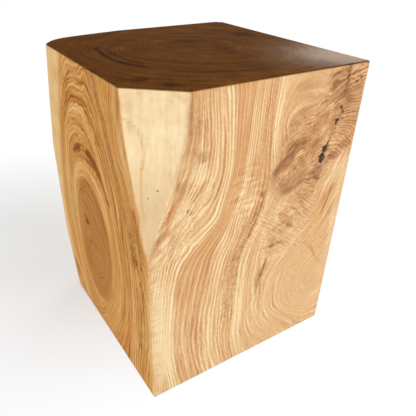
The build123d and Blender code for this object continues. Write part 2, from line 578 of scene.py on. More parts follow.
# %% Guide rings on the left face, from its right towards the oval
left_rings = [
    # count, line
    (53, [(258, 400), (260, 363), (266, 341), (274, 322), (278, 307), (282, 295), (289, 253)]),
    (85, [(204, 395), (207, 378), (212, 350), (220, 325), (232, 300), (247, 275), (255, 250), (265, 225),
          (275, 200), (281, 165), (284, 130), (282, 100), (277, 62), (272, 30), (268, 2)]),
    (103, [(182, 400), (195, 362), (205, 340), (213, 320), (222, 300), (235, 280), (245, 262), (250, 237),
           (252, 200), (252, 150), (250, 112), (245, 75), (237, 37), (230, 2)]),
    (126, [(170, 2), (185, 25), (200, 50), (215, 80), (225, 112), (232, 150), (230, 175), (225, 200),
           (222, 215), (215, 240), (207, 262), (200, 285), (190, 305), (180, 325), (165, 345), (150, 352),
           (130, 350), (105, 340), (85, 320), (70, 300), (58, 270), (50, 240), (45, 200), (42, 150),
           (45, 100), (55, 50), (65, 20), (70, 2)]),
    (150, [(135, 10), (150, 30), (168, 55), (185, 80), (197, 105), (205, 130), (210, 160), (212, 190),
           (212, 215), (208, 235), (203, 250), (190, 270), (175, 287), (160, 294), (145, 298), (127, 296),
           (112, 290), (100, 280), (88, 262), (78, 240), (70, 215), (65, 180), (65, 145), (70, 110),
           (80, 75), (92, 45), (105, 20)]),
    (159, [(132, 38), (150, 56), (170, 78), (188, 108), (198, 138), (203, 170), (203, 200), (198, 225),
           (187, 246), (170, 262), (150, 271), (130, 273), (110, 267), (94, 252), (82, 230), (75, 200),
           (73, 170), (76, 135), (84, 105), (95, 78), (108, 55), (120, 42)]),
    (168, [(140, 250), (162, 237), (180, 220), (190, 200), (194, 175), (192, 150), (185, 120), (170, 92),
           (150, 72), (125, 62), (108, 75), (97, 95), (90, 117), (82, 142), (80, 167), (81, 195),
           (87, 220), (100, 237), (120, 247), (140, 250)]),
    (184, [(131, 174)]),
    (98, [(150, 398)]),
    (92, [(100, 400), (77, 355), (65, 330), (55, 305), (45, 275), (30, 230), (22, 180), (20, 130),
          (24, 80), (34, 30)]),
]
print(len(left_rings), "guide rings on the left face")

# %% Guide rings on the hidden faces
right_rings = [
    # count, line
    (170, [(60, 2), (66, 60), (70, 130), (68, 200), (62, 270), (58, 330), (60, 398)]),
    (179, [(128, 2), (132, 100), (136, 200), (134, 300), (130, 398)]),
    (168, [(196, 2), (202, 100), (205, 200), (200, 300), (196, 398)]),
    (150, [(252, 2), (256, 130), (258, 260), (252, 398)]),
]
back_rings = [
    # count, line
    (134, [(14, 2), (16, 200), (14, 398)]),
    (160, [(84, 2), (90, 130), (92, 260), (88, 398)]),
    (168, [(130, 2), (133, 200), (130, 398)]),
    (140, [(190, 2), (194, 130), (192, 260), (188, 398)]),
    (105, [(236, 2), (240, 130), (238, 300)]),
]
print(len(right_rings) + len(back_rings), "guide rings on the hidden faces")

# %% Guide rings on the top, where one dark ring gives the shape of all
top_ring = [(38, 165), (40, 130), (50, 108), (72, 78), (100, 55), (125, 41), (150, 32), (175, 31), (205, 38),
            (240, 60), (265, 95), (273, 135), (270, 175), (258, 210), (238, 240), (205, 262), (165, 270),
            (120, 262), (80, 240), (52, 208), (41, 185), (38, 165)]
top_shares = [(1.0, 190), (0.66, 240), (0.33, 280)]
pith, count_at_pith = np.array([165.0, 172.0]), 310
guide_rings = [
    (face, count, line)
    for face, rings_on_face in (
        ("front", front_rings), ("left", left_rings), ("right", right_rings), ("back", back_rings)
    )
    for count, line in rings_on_face
]
for share_of_reach, top_count in top_shares:
    smaller_ring = pith + share_of_reach * (np.array(top_ring) - pith)
    guide_rings.append(("top", top_count, [tuple(point) for point in smaller_ring]))
guide_rings.append(("top", count_at_pith, [tuple(pith)]))
print(len(guide_rings), "guide rings in all")

# %% Points along the guides
guide_step = 18.0


def evenly_along(line, step):
    """Points at even steps along a drawn line, so that each stretch of it pulls alike."""
    line = np.array(line, float)
    if len(line) == 1:
        return line
    along = np.concatenate([[0], np.cumsum(np.hypot(*np.diff(line, axis=0).T))])
    even = np.linspace(0, along[-1], max(2, int(round(along[-1] / step)) + 1))
    return np.column_stack([np.interp(even, along, line[:, k]) for k in range(2)])


def drawn_places(guides):
    """The block places along drawn guide lines, and the count that each one has."""
    drawn, counts = [], []
    for face, count, line in guides:
        for across, up in evenly_along(line, guide_step):
            drawn.append(on_face(face, across, up))
            counts.append(count)
    return np.array(drawn, float), np.array(counts, float)


guided, guided_counts = drawn_places(guide_rings)
print(len(guided), "points along the guides")

# %% A smooth amount in space
# Each guide point pulls with the cube of its distance, which bends space the least, and a plain
# slope is added. Distances are counted in decimetres, and worked out in batches to save memory.
guide_softness = 0.001
decimetre = 100.0
batch = 20000
slope_terms = 4


def cubed_distances(from_points, to_points):
    """Cubed distances from each point of one set to each point of the other."""
    return np.linalg.norm(from_points[:, None] - to_points[None], axis=2) ** 3


def level_terms(at):
    """The terms of a plain slope: one, and the three places."""
    return np.column_stack([np.ones(len(at)), at])


def smooth_field(drawn, amounts):
    """A smooth amount in space that has the given amounts at the drawn places."""
    knots = drawn / decimetre
    many = len(knots)
    pull = np.zeros((many + slope_terms, many + slope_terms))
    pull[:many, :many] = cubed_distances(knots, knots) + guide_softness * np.eye(many)
    pull[:many, many:] = level_terms(knots)
    pull[many:, :many] = level_terms(knots).T
    weights = np.linalg.solve(pull, np.concatenate([amounts, np.zeros(slope_terms)]))

    def field(block_places):
        """The amount at each block place."""
        there = np.zeros(len(block_places))
        for start in range(0, len(block_places), batch):
            at = block_places[start : start + batch] / decimetre
            pulled = cubed_distances(at, knots) @ weights[:many]
            there[start : start + batch] = pulled + level_terms(at) @ weights[many:]
        return there

    return field


print("a smooth field goes through all its drawn places")

# %% The ring count everywhere
plain_count_at_pith, rings_per_mm = 300.0, 0.9


def plain_tree(block_places):
    """The ring count of a plain round tree that grew about the pith."""
    from_pith = np.hypot(block_places[:, 0] - pith[0], block_places[:, 1] - pith[1])
    return plain_count_at_pith - rings_per_mm * from_pith


# A few points of the foot hold the plain tree there, where nothing is drawn
held_at_foot = np.array([on_face("foot", across, up) for across in (100, 200) for up in (100, 200)])
bends = np.concatenate([guided_counts - plain_tree(guided), np.zeros(len(held_at_foot))])
ring_bend = smooth_field(np.vstack([guided, held_at_foot]), bends)
rings = plain_tree(points) + ring_bend(points)
print(f"ring count from {rings.min():.0f} to {rings.max():.0f} over the block")

# %% [markdown]
# A branch once left the trunk near the upper right of the front face. Round its stub the
# wood turned aside and curled, and its lines no longer follow the rings of the trunk. They
# get a count of their own, drawn in the same way, as lines that sweep up from the left and
# arch over towards the right. The same lines are repeated deeper in the block, so that they
# run straight in and carry on round the corner to the right face.

# %% Lines of the burl
burl_guides = [
    # count, line
    (0, [(150, 330), (165, 345), (185, 356), (210, 363), (235, 373), (260, 386), (290, 394)]),
    (10, [(152, 312), (165, 328), (185, 338), (205, 342), (230, 351), (255, 362), (290, 374)]),
    (20, [(156, 298), (168, 315), (182, 327), (198, 331), (217, 334), (237, 342), (260, 352),
          (292, 356)]),
    (30, [(160, 284), (168, 298), (180, 309), (188, 318), (202, 324), (218, 324), (234, 330), (252, 338),
          (292, 338)]),
    (40, [(165, 272), (176, 288), (191, 300), (203, 311), (216, 316), (230, 319), (246, 325), (270, 328),
          (294, 318)]),
    (50, [(170, 262), (185, 280), (200, 291), (215, 301), (230, 309), (246, 315), (268, 316),
          (292, 298)]),
    (60, [(178, 258), (192, 275), (207, 285), (222, 290), (237, 296), (255, 302), (272, 300),
          (292, 280)]),
    (70, [(190, 255), (205, 268), (222, 276), (240, 280), (258, 286), (275, 280), (294, 262)]),
    (80, [(198, 250), (212, 259), (226, 254), (240, 262), (256, 268), (272, 262), (292, 245)]),
    (92, [(200, 238), (212, 246), (224, 238), (238, 226)]),
]
burl_depths = (0.0, 90.0)
burl_places, burl_counts = drawn_places([("front", count, line) for count, line in burl_guides])
burl_knots = np.vstack([burl_places + np.array([0, deep, 0]) for deep in burl_depths])
burl_field = smooth_field(burl_knots, np.tile(burl_counts, len(burl_depths)))
burl_left_of, burl_above, burl_in_front_of = 120, 200, 130
near_burl = (
    (points[:, 0] > burl_left_of) & (points[:, 2] > burl_above) & (points[:, 1] < burl_in_front_of)
)
burl_lines = np.zeros(len(points))
burl_lines[near_burl] = burl_field(points[near_burl])
print(f"burl lines over {near_burl.sum()} points")

# %% [markdown]
# ## Figure
#
# Ring lines alone would look like a drawing. Real figured wood has patches where the rings
# are crowded and stained, pale places, curls and dark streaks. They could be left to
# chance, but then the block would be another block. Here each one that the photograph
# shows is laid on one by one, as a soft spot or a soft stroke of one kind on one face, and
# the finish later breaks its edge up with noise.

# %% Soft spots and strokes
spot_depth = 7.0


def smooth_step(share):
    """Nothing below 0, one above 1, and an easy slope between."""
    share = np.clip(share, 0, 1)
    return share * share * (3 - 2 * share)


def laid_spot(face, centre, half_sizes, turn, edge):
    """One oval on a face: even inside, fading at its edge over a share of its size."""
    across, up, below = seen_on(face, points)
    a, b = across - centre[0], up - centre[1]
    along, aside = a * cos(turn) + b * sin(turn), b * cos(turn) - a * sin(turn)
    reach = np.sqrt((along / half_sizes[0]) ** 2 + (aside / half_sizes[1]) ** 2)
    return smooth_step((1 - reach) / edge + 0.5) * np.exp(-((below / spot_depth) ** 2))


def line_distance(across, up, line):
    """The shortest distance from each point of a face to a drawn line."""
    nearest = np.full(len(across), 1e9)
    for (a0, b0), (a1, b1) in zip(line[:-1], line[1:]):
        run, rise = a1 - a0, b1 - b0
        share = np.clip(((across - a0) * run + (up - b0) * rise) / (run * run + rise * rise), 0, 1)
        nearest = np.minimum(nearest, np.hypot(across - a0 - share * run, up - b0 - share * rise))
    return nearest


def laid_stroke(face, line, half_width):
    """A soft line on a face, one along its middle."""
    across, up, below = seen_on(face, points)
    return np.exp(-((line_distance(across, up, line) / half_width) ** 2) - (below / spot_depth) ** 2)


print(f"spots and strokes fade {spot_depth:.0f} mm below their face")

# %% The kinds of figure
# Brown, red, dusk, gold and pale are stains. Where curl is laid on, the ring lines shake, and
# where calm is laid on, they fade. The two kinds of bars show where the fibres run in waves.
kinds = ("brown", "red", "dusk", "gold", "pale", "curl", "calm", "slant_bars", "level_bars")
figure = {kind: np.zeros(len(points)) for kind in kinds}


def lay_on(face, spots, strokes):
    """Adds the spots and the strokes of one face to the layers of their kinds."""
    for kind, drawn in spots.items():
        for centre, half_sizes, turn, strength, edge in drawn:
            figure[kind] += strength * laid_spot(face, centre, half_sizes, radians(turn), edge)
    for kind, drawn in strokes.items():
        for line, half_width, strength in drawn:
            figure[kind] += strength * laid_stroke(face, line, half_width)


def tally(marks):
    """How many marks of each kind there are, in words."""
    return ", ".join(f"{len(drawn)} {kind}" for kind, drawn in marks.items())


print("kinds of figure:", ", ".join(kinds))

# %% Spots on the front
front_spots = {
    # kind: middle, half sizes, turn in degrees, strength, edge
    "brown": [
        ((57, 352), (6, 50), -5, 0.3, 0.9),
        ((63, 365), (7, 8), 0, 0.22, 0.9),
        ((69, 331), (9, 7), 10, 0.36, 0.9),
        ((67, 340), (9, 20), 0, 0.18, 0.9),
        ((42, 303), (6, 8), 8, 0.5, 0.7),
        ((40, 292), (4, 4), 0, 0.4, 0.7),
        ((198, 315), (17, 7), 24, 1.15, 0.6),
        ((182, 297), (17, 8), 30, 1.1, 0.7),
        ((167, 283), (7, 10), 0, 0.5, 0.8),
        ((201, 268), (26, 12), 6, 0.55, 0.7),
        ((190, 258), (10, 5), 20, 0.4, 0.7),
        ((228, 313), (5, 8), -30, 0.7, 0.7),
        ((240, 272), (8, 9), 0, 0.5, 0.8),
        ((263, 290), (10, 6), -8, 1.1, 0.7),
        ((281, 302), (11, 6), -12, 0.85, 0.7),
        ((247, 384), (14, 12), 0, 0.6, 1.0),
        ((248, 365), (16, 6), 0, 0.6, 0.7),
        ((276, 366), (18, 14), -20, 0.45, 0.8),
        ((286, 336), (12, 16), 0, 0.45, 0.8),
        ((205, 378), (26, 20), 0, 0.34, 0.9),
        ((216, 342), (32, 16), 10, 0.22, 0.9),
        ((114, 140), (14, 62), 2, 0.3, 0.9),
        ((200, 208), (42, 30), 55, 0.22, 0.9),
        ((186, 196), (26, 7), 55, 0.1, 0.9),
        ((210, 216), (28, 7), 55, 0.14, 0.9),
        ((188, 182), (20, 7), -5, 0.14, 0.9),
        ((175, 151), (9, 5), 30, 0.35, 0.9),
        ((161, 133), (6, 18), 0, 0.35, 0.9),
        ((228, 222), (6, 4), -40, 0.4, 0.9),
        ((24, 238), (36, 18), 52, 0.22, 0.9),
    ],
    "pale": [
        ((7, 100), (12, 110), 0, 0.7, 0.9),
        ((22, 100), (12, 110), 0, 0.45, 0.9),
        ((26, 238), (34, 16), 52, 0.3, 0.9),
        ((276, 262), (26, 16), 40, 0.35, 0.9),
        ((289, 205), (8, 66), 2, 0.4, 0.9),
        ((64, 312), (14, 10), 0, 0.6, 0.9),
        ((46, 278), (12, 10), 45, 0.55, 0.9),
        ((78, 292), (14, 8), 60, 0.3, 0.9),
        ((286, 110), (8, 95), 0, 0.3, 0.9),
        ((203, 286), (12, 2.4), 22, 0.35, 0.9),
        ((134, 120), (9, 52), 0, 0.35, 0.9),
    ],
    "level_bars": [
        ((7, 110), (11, 110), 0, 1.0, 0.7),
        ((128, 276), (22, 34), 0, 0.9, 0.8),
        ((114, 140), (14, 62), 0, 0.5, 0.8),
        ((62, 345), (14, 60), 0, 0.25, 0.8),
        ((178, 170), (18, 26), 0, 0.5, 0.9),
    ],
    "red": [
        ((8, 66), (9, 26), 0, 0.5, 0.9),
        ((9, 26), (10, 16), 0, 0.45, 0.9),
        ((8, 150), (7, 30), 0, 0.3, 0.9),
    ],
    "calm": [
        ((250, 110), (60, 64), 0, 1.0, 0.7),
        ((232, 24), (66, 34), 0, 0.75, 0.9),
        ((202, 208), (46, 48), 50, 0.75, 0.7),
        ((178, 18), (40, 30), 0, 0.4, 0.9),
        ((200, 384), (36, 24), 0, 0.8, 0.8),
    ],
    "curl": [
        ((255, 340), (45, 60), 0, 0.9, 0.8),
        ((195, 200), (40, 45), 0, 0.2, 0.8),
        ((62, 325), (18, 66), 0, 0.5, 0.8),
        ((116, 145), (18, 70), 0, 0.6, 0.8),
        ((35, 250), (34, 36), 20, 1.0, 0.8),
        ((140, 240), (16, 40), -20, 0.6, 0.9),
        ((204, 212), (34, 34), 50, 0.4, 0.9),
    ],
    "slant_bars": [
        ((200, 207), (52, 48), 50, 0.75, 0.7),
        ((140, 225), (22, 34), -20, 0.5, 0.9),
        ((24, 240), (40, 26), 52, 0.3, 0.8),
        ((250, 112), (56, 60), 0, 0.16, 0.9),
        ((150, 330), (14, 70), 0, 0.3, 0.9),
    ],
}
print("spots on the front:", tally(front_spots))

# %% Strokes on the front
front_strokes = {
    # kind: line, half width, strength
    "dusk": [
        ([(152, 258), (150, 246), (147, 234), (143, 224), (139, 214)], 1.7, 0.5),
        ([(236, 266), (240, 263), (246, 262)], 1.5, 0.7),
        ([(171, 163), (168, 153), (165, 141)], 2.3, 0.9),
        ([(165, 141), (161, 126), (157, 110)], 1.8, 0.45),
        ([(264, 400), (264, 388), (263, 374), (262, 366)], 2.2, 0.45),
        ([(268, 387), (278, 386), (288, 382)], 1.1, 0.6),
        ([(234, 378), (240, 374), (250, 371), (262, 370)], 1.2, 0.45),
        ([(234, 384), (240, 380), (246, 378)], 1.2, 0.4),
        ([(274, 360), (284, 355), (294, 350)], 1.6, 0.35),
    ],
    "brown": [
        ([(156, 268), (153, 250), (148, 236), (142, 222), (134, 209), (128, 199)], 3.0, 0.55),
        ([(128, 199), (123, 182), (121, 168)], 3.0, 0.22),
        ([(54, 400), (52, 373), (49, 346), (42, 324), (37, 306), (29, 285), (19, 262),
          (7, 235)], 2.2, 0.55),
        ([(204, 292), (209, 290), (214, 287), (219, 281)], 1.5, 0.9),
        ([(232, 284), (232, 274), (236, 267), (243, 262)], 1.5, 0.9),
        ([(214, 258), (226, 246), (238, 236)], 1.3, 0.6),
        ([(221, 259), (232, 249), (241, 239)], 1.3, 0.5),
        ([(218, 240), (229, 236), (239, 230)], 1.3, 0.5),
        ([(118, 182), (150, 182), (182, 184), (204, 181)], 1.2, 0.45),
        ([(176, 207), (186, 205), (196, 198)], 1.8, 0.4),
        ([(178, 184), (190, 182), (201, 178)], 1.8, 0.2),
        ([(166, 176), (176, 171), (188, 172)], 1.7, 0.3),
        ([(208, 230), (216, 223), (224, 216)], 1.8, 0.4),
        ([(184, 231), (192, 226), (200, 218)], 1.7, 0.3),
        ([(196, 238), (206, 231), (214, 222)], 1.7, 0.35),
        ([(170, 196), (180, 192), (192, 188)], 1.6, 0.3),
        ([(198, 211), (208, 204), (218, 196)], 1.6, 0.35),
        ([(187, 219), (195, 213), (204, 206)], 1.5, 0.3),
        ([(166, 158), (160, 136), (157, 124)], 3.0, 0.35),
        ([(261, 206), (266, 222), (270, 236), (274, 246)], 2.8, 0.9),
        ([(258, 222), (262, 236)], 2.0, 0.6),
        ([(262, 400), (264, 384), (264, 368), (272, 360)], 4.5, 0.9),
        ([(232, 390), (244, 392), (256, 388)], 1.6, 0.5),
        ([(252, 352), (262, 350), (274, 346)], 4.0, 0.5),
        ([(251, 318), (252, 326), (257, 334), (262, 344)], 4.0, 0.5),
        ([(236, 280), (248, 278), (254, 286)], 3.0, 0.5),
        ([(104, 178), (112, 176)], 2.2, 0.3),
        ([(116, 186), (126, 184)], 2.4, 0.25),
        ([(111, 168), (121, 170)], 2.2, 0.25),
        ([(118, 158), (127, 160)], 2.2, 0.28),
        ([(115, 146), (124, 144)], 2.4, 0.28),
        ([(118, 135), (128, 132)], 2.6, 0.34),
        ([(107, 120), (112, 108)], 2.6, 0.3),
        ([(105, 98), (110, 92)], 2.8, 0.32),
        ([(106, 86), (111, 78)], 2.6, 0.3),
    ],
    "red": [
        ([(237, 169), (244, 161), (254, 151), (260, 141), (265, 132), (272, 124), (282, 113)], 1.5, 0.9),
        ([(252, 156), (259, 146), (264, 138)], 3.4, 0.4),
        ([(9, 244), (14, 248)], 2.2, 0.9),
        ([(20, 248), (28, 255)], 2.2, 0.9),
        ([(11, 231), (17, 236)], 2.2, 0.8),
        ([(4, 234), (8, 228)], 2.2, 0.7),
        ([(25, 266), (30, 272)], 2.0, 0.7),
        ([(44, 256), (52, 258)], 1.5, 0.5),
        ([(28, 238), (38, 244)], 2.2, 0.8),
        ([(26, 230), (33, 233)], 2.0, 0.7),
        ([(14, 222), (22, 228)], 2.2, 0.8),
        ([(50, 296), (56, 304)], 2.0, 0.5),
        ([(76, 288), (82, 294)], 1.6, 0.35),
        ([(4, 212), (10, 218)], 2.2, 0.8),
    ],
    "gold": [
        ([(247, 202), (253, 220), (261, 242)], 4.0, 1.0),
        ([(258, 198), (265, 216), (273, 246)], 4.5, 1.1),
        ([(273, 216), (279, 236)], 3.5, 0.6),
    ],
    "pale": [
        ([(12, 254), (22, 262)], 2.4, 0.7),
        ([(16, 240), (26, 246)], 2.2, 0.7),
        ([(30, 262), (40, 270)], 2.6, 0.7),
        ([(8, 224), (16, 229)], 2.2, 0.6),
        ([(176, 50), (174, 90), (178, 120), (187, 138), (199, 158), (217, 178), (240, 196)], 2.2, 0.7),
        ([(128, 172), (125, 140), (125, 100), (126, 50)], 2.6, 0.7),
        ([(138, 180), (134, 140), (133, 100), (134, 50)], 1.9, 0.7),
        ([(150, 176), (145, 140), (144, 100), (145, 60)], 1.5, 0.55),
        ([(192, 128), (187, 110), (186, 90), (192, 66)], 1.6, 0.5),
        ([(204, 112), (203, 92), (207, 76)], 2.0, 0.5),
        ([(222, 377), (232, 373), (240, 369)], 1.6, 0.6),
        ([(249, 243), (255, 250), (262, 256)], 2.0, 0.5),
    ],
}
lay_on("front", front_spots, front_strokes)
print("strokes on the front:", tally(front_strokes))

# %% Spots and strokes on the left face
left_spots = {
    # kind: middle, half sizes, turn in degrees, strength, edge
    "brown": [
        ((117, 177), (7, 4), 10, 1.0, 0.7),
        ((114, 184), (9, 4), 25, 0.35, 0.8),
        ((115, 289), (12, 4.5), 30, 0.5, 1.0),
        ((108, 282), (10, 3.5), 35, 0.4, 0.8),
        ((166, 290), (17, 6), -24, 1.0, 1.0),
        ((176, 283), (8, 4), -35, 0.5, 0.8),
        ((88, 372), (20, 9), 40, 0.4, 0.8),
        ((66, 322), (5, 26), -22, 0.3, 0.8),
        ((286, 185), (3, 56), 0, 0.4, 0.9),
        ((272, 232), (5, 22), 20, 0.3, 0.9),
        ((268, 120), (16, 90), 4, 0.3, 0.9),
        ((26, 36), (16, 26), -35, 0.5, 0.9),
    ],
    "red": [
        ((145, 185), (6, 3.5), 20, 0.9, 0.7),
        ((132, 214), (9, 3), 20, 0.35, 0.8),
        ((26, 36), (16, 26), -35, 0.6, 0.9),
        ((150, 390), (56, 12), 0, 0.45, 0.9),
    ],
    "pale": [
        ((205, 240), (16, 32), 20, 0.2, 0.9),
        ((60, 190), (42, 64), 10, 0.45, 0.9),
        ((120, 322), (40, 20), 0, 0.15, 0.9),
        ((297, 120), (4, 110), 0, 0.5, 0.9),
    ],
    "curl": [
        ((140, 345), (70, 50), 0, 0.8, 0.9),
        ((60, 180), (60, 90), 0, 0.3, 0.9),
    ],
    "calm": [
        ((137, 152), (60, 102), 0, 0.5, 0.6),
        ((140, 40), (60, 40), 0, 0.45, 0.8),
    ],
}
left_strokes = {
    # kind: line, half width, strength
    "brown": [
        ([(150, 294), (163, 291), (176, 284), (184, 277)], 4.4, 1.45),
        ([(184, 277), (191, 268), (198, 259), (205, 248)], 3.2, 1.1),
        ([(204, 249), (209, 236), (212, 222)], 3.0, 0.3),
        ([(98, 279), (108, 286), (118, 291), (128, 295)], 3.0, 0.7),
        ([(192, 400), (205, 366), (218, 336), (230, 306), (245, 271), (258, 236), (268, 203)], 8.5, 0.62),
        ([(163, 238), (176, 225), (186, 208), (191, 185), (191, 165)], 3.0, 0.3),
        ([(78, 200), (78, 185), (80, 172)], 4.0, 0.25),
        ([(284, 262), (280, 246), (283, 225), (286, 205)], 2.2, 0.6),
        ([(274, 214), (282, 188), (287, 160), (288, 130), (286, 100), (281, 62)], 1.6, 0.45),
        ([(276, 165), (279, 130), (277, 100), (272, 62)], 1.4, 0.4),
        ([(268, 165), (272, 130), (270, 100), (266, 62)], 1.4, 0.35),
        ([(262, 240), (272, 216), (280, 190), (284, 160), (284, 120)], 2.4, 0.32),
        ([(252, 300), (262, 268), (274, 236)], 2.0, 0.4),
        ([(122, 292), (124, 284), (126, 276)], 1.6, 0.9),
        ([(150, 294), (148, 282)], 1.6, 0.9),
        ([(158, 290), (155, 274)], 1.6, 0.9),
        ([(168, 286), (163, 271)], 1.6, 0.9),
        ([(178, 278), (171, 264)], 1.6, 0.8),
        ([(186, 272), (179, 258)], 1.5, 0.6),
        ([(138, 296), (138, 286)], 1.5, 0.6),
        ([(110, 288), (114, 274)], 1.6, 0.7),
        ([(100, 280), (105, 270)], 1.6, 0.6),
    ],
    "dusk": [
        ([(252, 400), (252, 380), (257, 352), (264, 330), (270, 315), (275, 303), (280, 285),
          (286, 266)], 1.2, 0.32),
    ],
    "pale": [
        ([(248, 400), (246, 370), (251, 345), (260, 320), (266, 300), (273, 280)], 7, 0.7),
        ([(272, 196), (281, 160), (284, 130), (282, 100), (277, 62)], 1.6, 0.5),
        ([(4, 116), (16, 88), (36, 62), (58, 34), (74, 14)], 7, 0.85),
        ([(40, 120), (14, 105)], 5, 0.2),
    ],
}
lay_on("left", left_spots, left_strokes)
print("left face:", tally(left_spots), "and", tally(left_strokes))

# %% Spots and strokes on the top
top_spots = {
    # kind: middle, half sizes, turn in degrees, strength, edge
    "brown": [
        ((264, 196), (16, 18), 0, 0.5, 0.9),
        ((28, 54), (10, 7), 20, 0.9, 0.9),
        ((46, 26), (8, 8), 0, 0.7, 0.9),
        ((165, 190), (20, 14), 0, 0.35, 0.9),
        ((180, 120), (12, 18), 0, 0.35, 0.9),
    ],
    "red": [
        ((200, 265), (80, 20), 0, 0.5, 0.9),
        ((20, 40), (16, 16), 0, 0.6, 0.9),
        ((95, 8), (60, 10), 0, 0.6, 0.9),
    ],
}
top_strokes = {
    # kind: line, half width, strength
    "brown": [
        ([(44, 205), (38, 165), (39, 135), (46, 112), (56, 96)], 2.2, 1.4),
        ([(53, 195), (50, 165), (52, 135), (60, 112)], 2.0, 0.8),
        ([(75, 66), (100, 48), (125, 37), (150, 30), (175, 29)], 2.6, 0.7),
        ([(236, 250), (246, 228), (262, 206), (270, 188)], 6, 0.6),
    ],
    "red": [
        ([(47, 185), (44, 160), (47, 130)], 1.6, 0.8),
    ],
}
lay_on("top", top_spots, top_strokes)
print("top:", tally(top_spots), "and", tally(top_strokes))

# %% The dark oval of the left face
oval_middle, oval_half_sizes, oval_turn, oval_edge = (137, 152), (58, 100), radians(-3), 0.16
figure["oval"] = laid_spot("left", oval_middle, oval_half_sizes, oval_turn, oval_edge)
print("strongest figure:", {kind: round(float(laid.max()), 2) for kind, laid in figure.items()})

# %% The reach of the burl
burl_outline = [(160, 268), (165, 292), (170, 322), (180, 344), (198, 356), (226, 368), (238, 402),
                (300, 402), (300, 296), (268, 284), (254, 264), (244, 244), (229, 232), (208, 238),
                (190, 252), (170, 260)]
burl_edge = 36.0
burl_deep = 75.0


def depth_inside(flat_points, loop):
    """How far each point lies inside a closed loop, below nothing outside it."""
    to_edge = line_distance(flat_points[:, 0], flat_points[:, 1], list(loop) + [loop[0]])
    return np.where(inside_loop(flat_points, np.array(loop, float)), to_edge, -to_edge)


across, up, below = seen_on("front", points)
inside_burl = depth_inside(np.column_stack([across, up]), burl_outline)
figure["burl"] = smooth_step(inside_burl / burl_edge + 0.5) * np.exp(-((below / burl_deep) ** 2))
print(f"burl over {100 * (figure['burl'] > 0.5).mean():.0f} of each hundred points")

# %% End grain and the two natural surfaces
# A point belongs to a natural surface where it lies deeper than either of the two faces that
# would meet at the corner
from_left, from_front, up_from_foot = points.T
from_back = depth - from_front
end_start, end_run = 2.2, 1.8
natural_depth = 1.2
near_corner_reach = (62, 54)
far_corner_left, far_corner_front = 130, 240
from_end = np.minimum(up_from_foot, height - up_from_foot)
end_grain = smooth_step((end_start - from_end) / end_run)


def natural_surface(in_corner, from_faces):
    """One where a point of a corner lies below both of its faces, and nothing on the ends."""
    return smooth_step(np.where(in_corner, from_faces, 0) / natural_depth) * (1 - end_grain)


near_corner = (from_left < near_corner_reach[0]) & (from_front < near_corner_reach[1])
facet = natural_surface(near_corner, np.minimum(from_left, from_front))
far_corner = (from_left < far_corner_left) & (from_front > far_corner_front)
bark = natural_surface(far_corner, np.minimum(from_left, from_back))
print(f"natural surfaces cover {100 * ((facet + bark) > 0.5).mean():.0f} of each hundred points")

# %% Sapwood and the amber of the left face
# The sapwood lies outside one ring at the front. Towards the back it reaches further in, fades
# out over more rings, and turns brown at the foot.
front_sapwood, more_sapwood_behind = 53, 33
front_fade, more_fade_behind = 5, 22
front_strength, less_strength_behind = 0.75, 0.1
behind_from, behind_run = 80, 150
brown_top, brown_run, brown_strength = 110, 60, 0.8
amber_depth, amber_at_back = 3.0, 0.5
behind = smooth_step((from_front - behind_from) / behind_run)
sapwood_count = front_sapwood + more_sapwood_behind * behind
sapwood_fade = front_fade + more_fade_behind * behind
sapwood_strength = front_strength - less_strength_behind * behind
brown_foot = behind * smooth_step((brown_top - up_from_foot) / brown_run)
by_rings = smooth_step((sapwood_count - rings) / sapwood_fade + 0.5) * sapwood_strength
outer_wood = by_rings * (1 - brown_strength * brown_foot)
sapwood = np.maximum(outer_wood, np.maximum(facet, bark))
# The amber layer marks the left face's deeper colour, partly its own and partly painted shade
left_share = np.clip(1 - from_left / amber_depth, 0, 1)
back_share = np.clip(1 - from_back / amber_depth, 0, 1)
amber = np.maximum(np.maximum(left_share, bark), amber_at_back * back_share)
print(f"sapwood covers {100 * (sapwood > 0.5).mean():.0f} of each hundred points")

# %% A vein and a dull foot on the near natural corner
# The vein is drawn by its place along the facet and its height
vein_line = [(-28, 370), (-20, 368), (-13, 362), (-9, 356), (-7, 346), (-5, 337), (-6, 327), (-8, 314),
             (-8, 306), (-7, 292), (-6, 280), (-4, 273)]
vein_half_width = 1.7
smudge_line, smudge_half_width, smudge_strength = [(24, 397), (34, 391)], 4.0, 0.7
dull_top, dull_run = 360, 90
along_facet = (from_left * facet_reach[1] - from_front * facet_reach[0]) / np.hypot(*facet_reach)
from_vein = line_distance(along_facet, up_from_foot, vein_line) / vein_half_width
from_smudge = line_distance(along_facet, up_from_foot, smudge_line) / smudge_half_width
figure["vein"] = facet * (np.exp(-(from_vein**2)) + smudge_strength * np.exp(-(from_smudge**2)))
figure["dull"] = facet * smooth_step((dull_top - up_from_foot) / dull_run)
print(f"vein over {(figure['vein'] > 0.5).sum()} points")

# %% [markdown]
# ## Open flaws and relief
#
# Two ragged pockets in the front face have lost their rotten wood. They are real hollows,
# so the skin's points sink into them. How deep each point sinks follows from its distance
# to the drawn outline of the pocket. A Geometry Nodes tree then does the sinking, and with
# the same move gives the two natural surfaces their slow waves. It is one modifier with
# its sizes as named inputs, which suits a rule that runs over the whole skin, and it is
# applied before the frame sees the piece.

# %% How deep each point lies in a flaw
flaws = [
    # middle on the front, depth, outline about the middle, as the solid has them
    ((244, 300), 9.0, [(8, 18), (6.5, 8), (5.5, 0), (2, -4), (4, -10), (0, -17), (-5, -15), (-6, -6),
                       (-2, -1), (-3, 5), (3.5, 8)]),
    ((258, 334), 5.0, [(-3, 3), (1, 3.5), (5, 2), (1.5, -1), (0.5, -4), (-2.5, -3.5)]),
]
search_radius = 30
wall_run, wall_outside = 1.7, 0.4
wander_reach, wander_size, wander_level = 1.1, 2.6, 3.7
# Without a seed, the vector noise takes one from the clock, and each run gives other walls
wander_seed = 4
noise.seed_set(wander_seed)


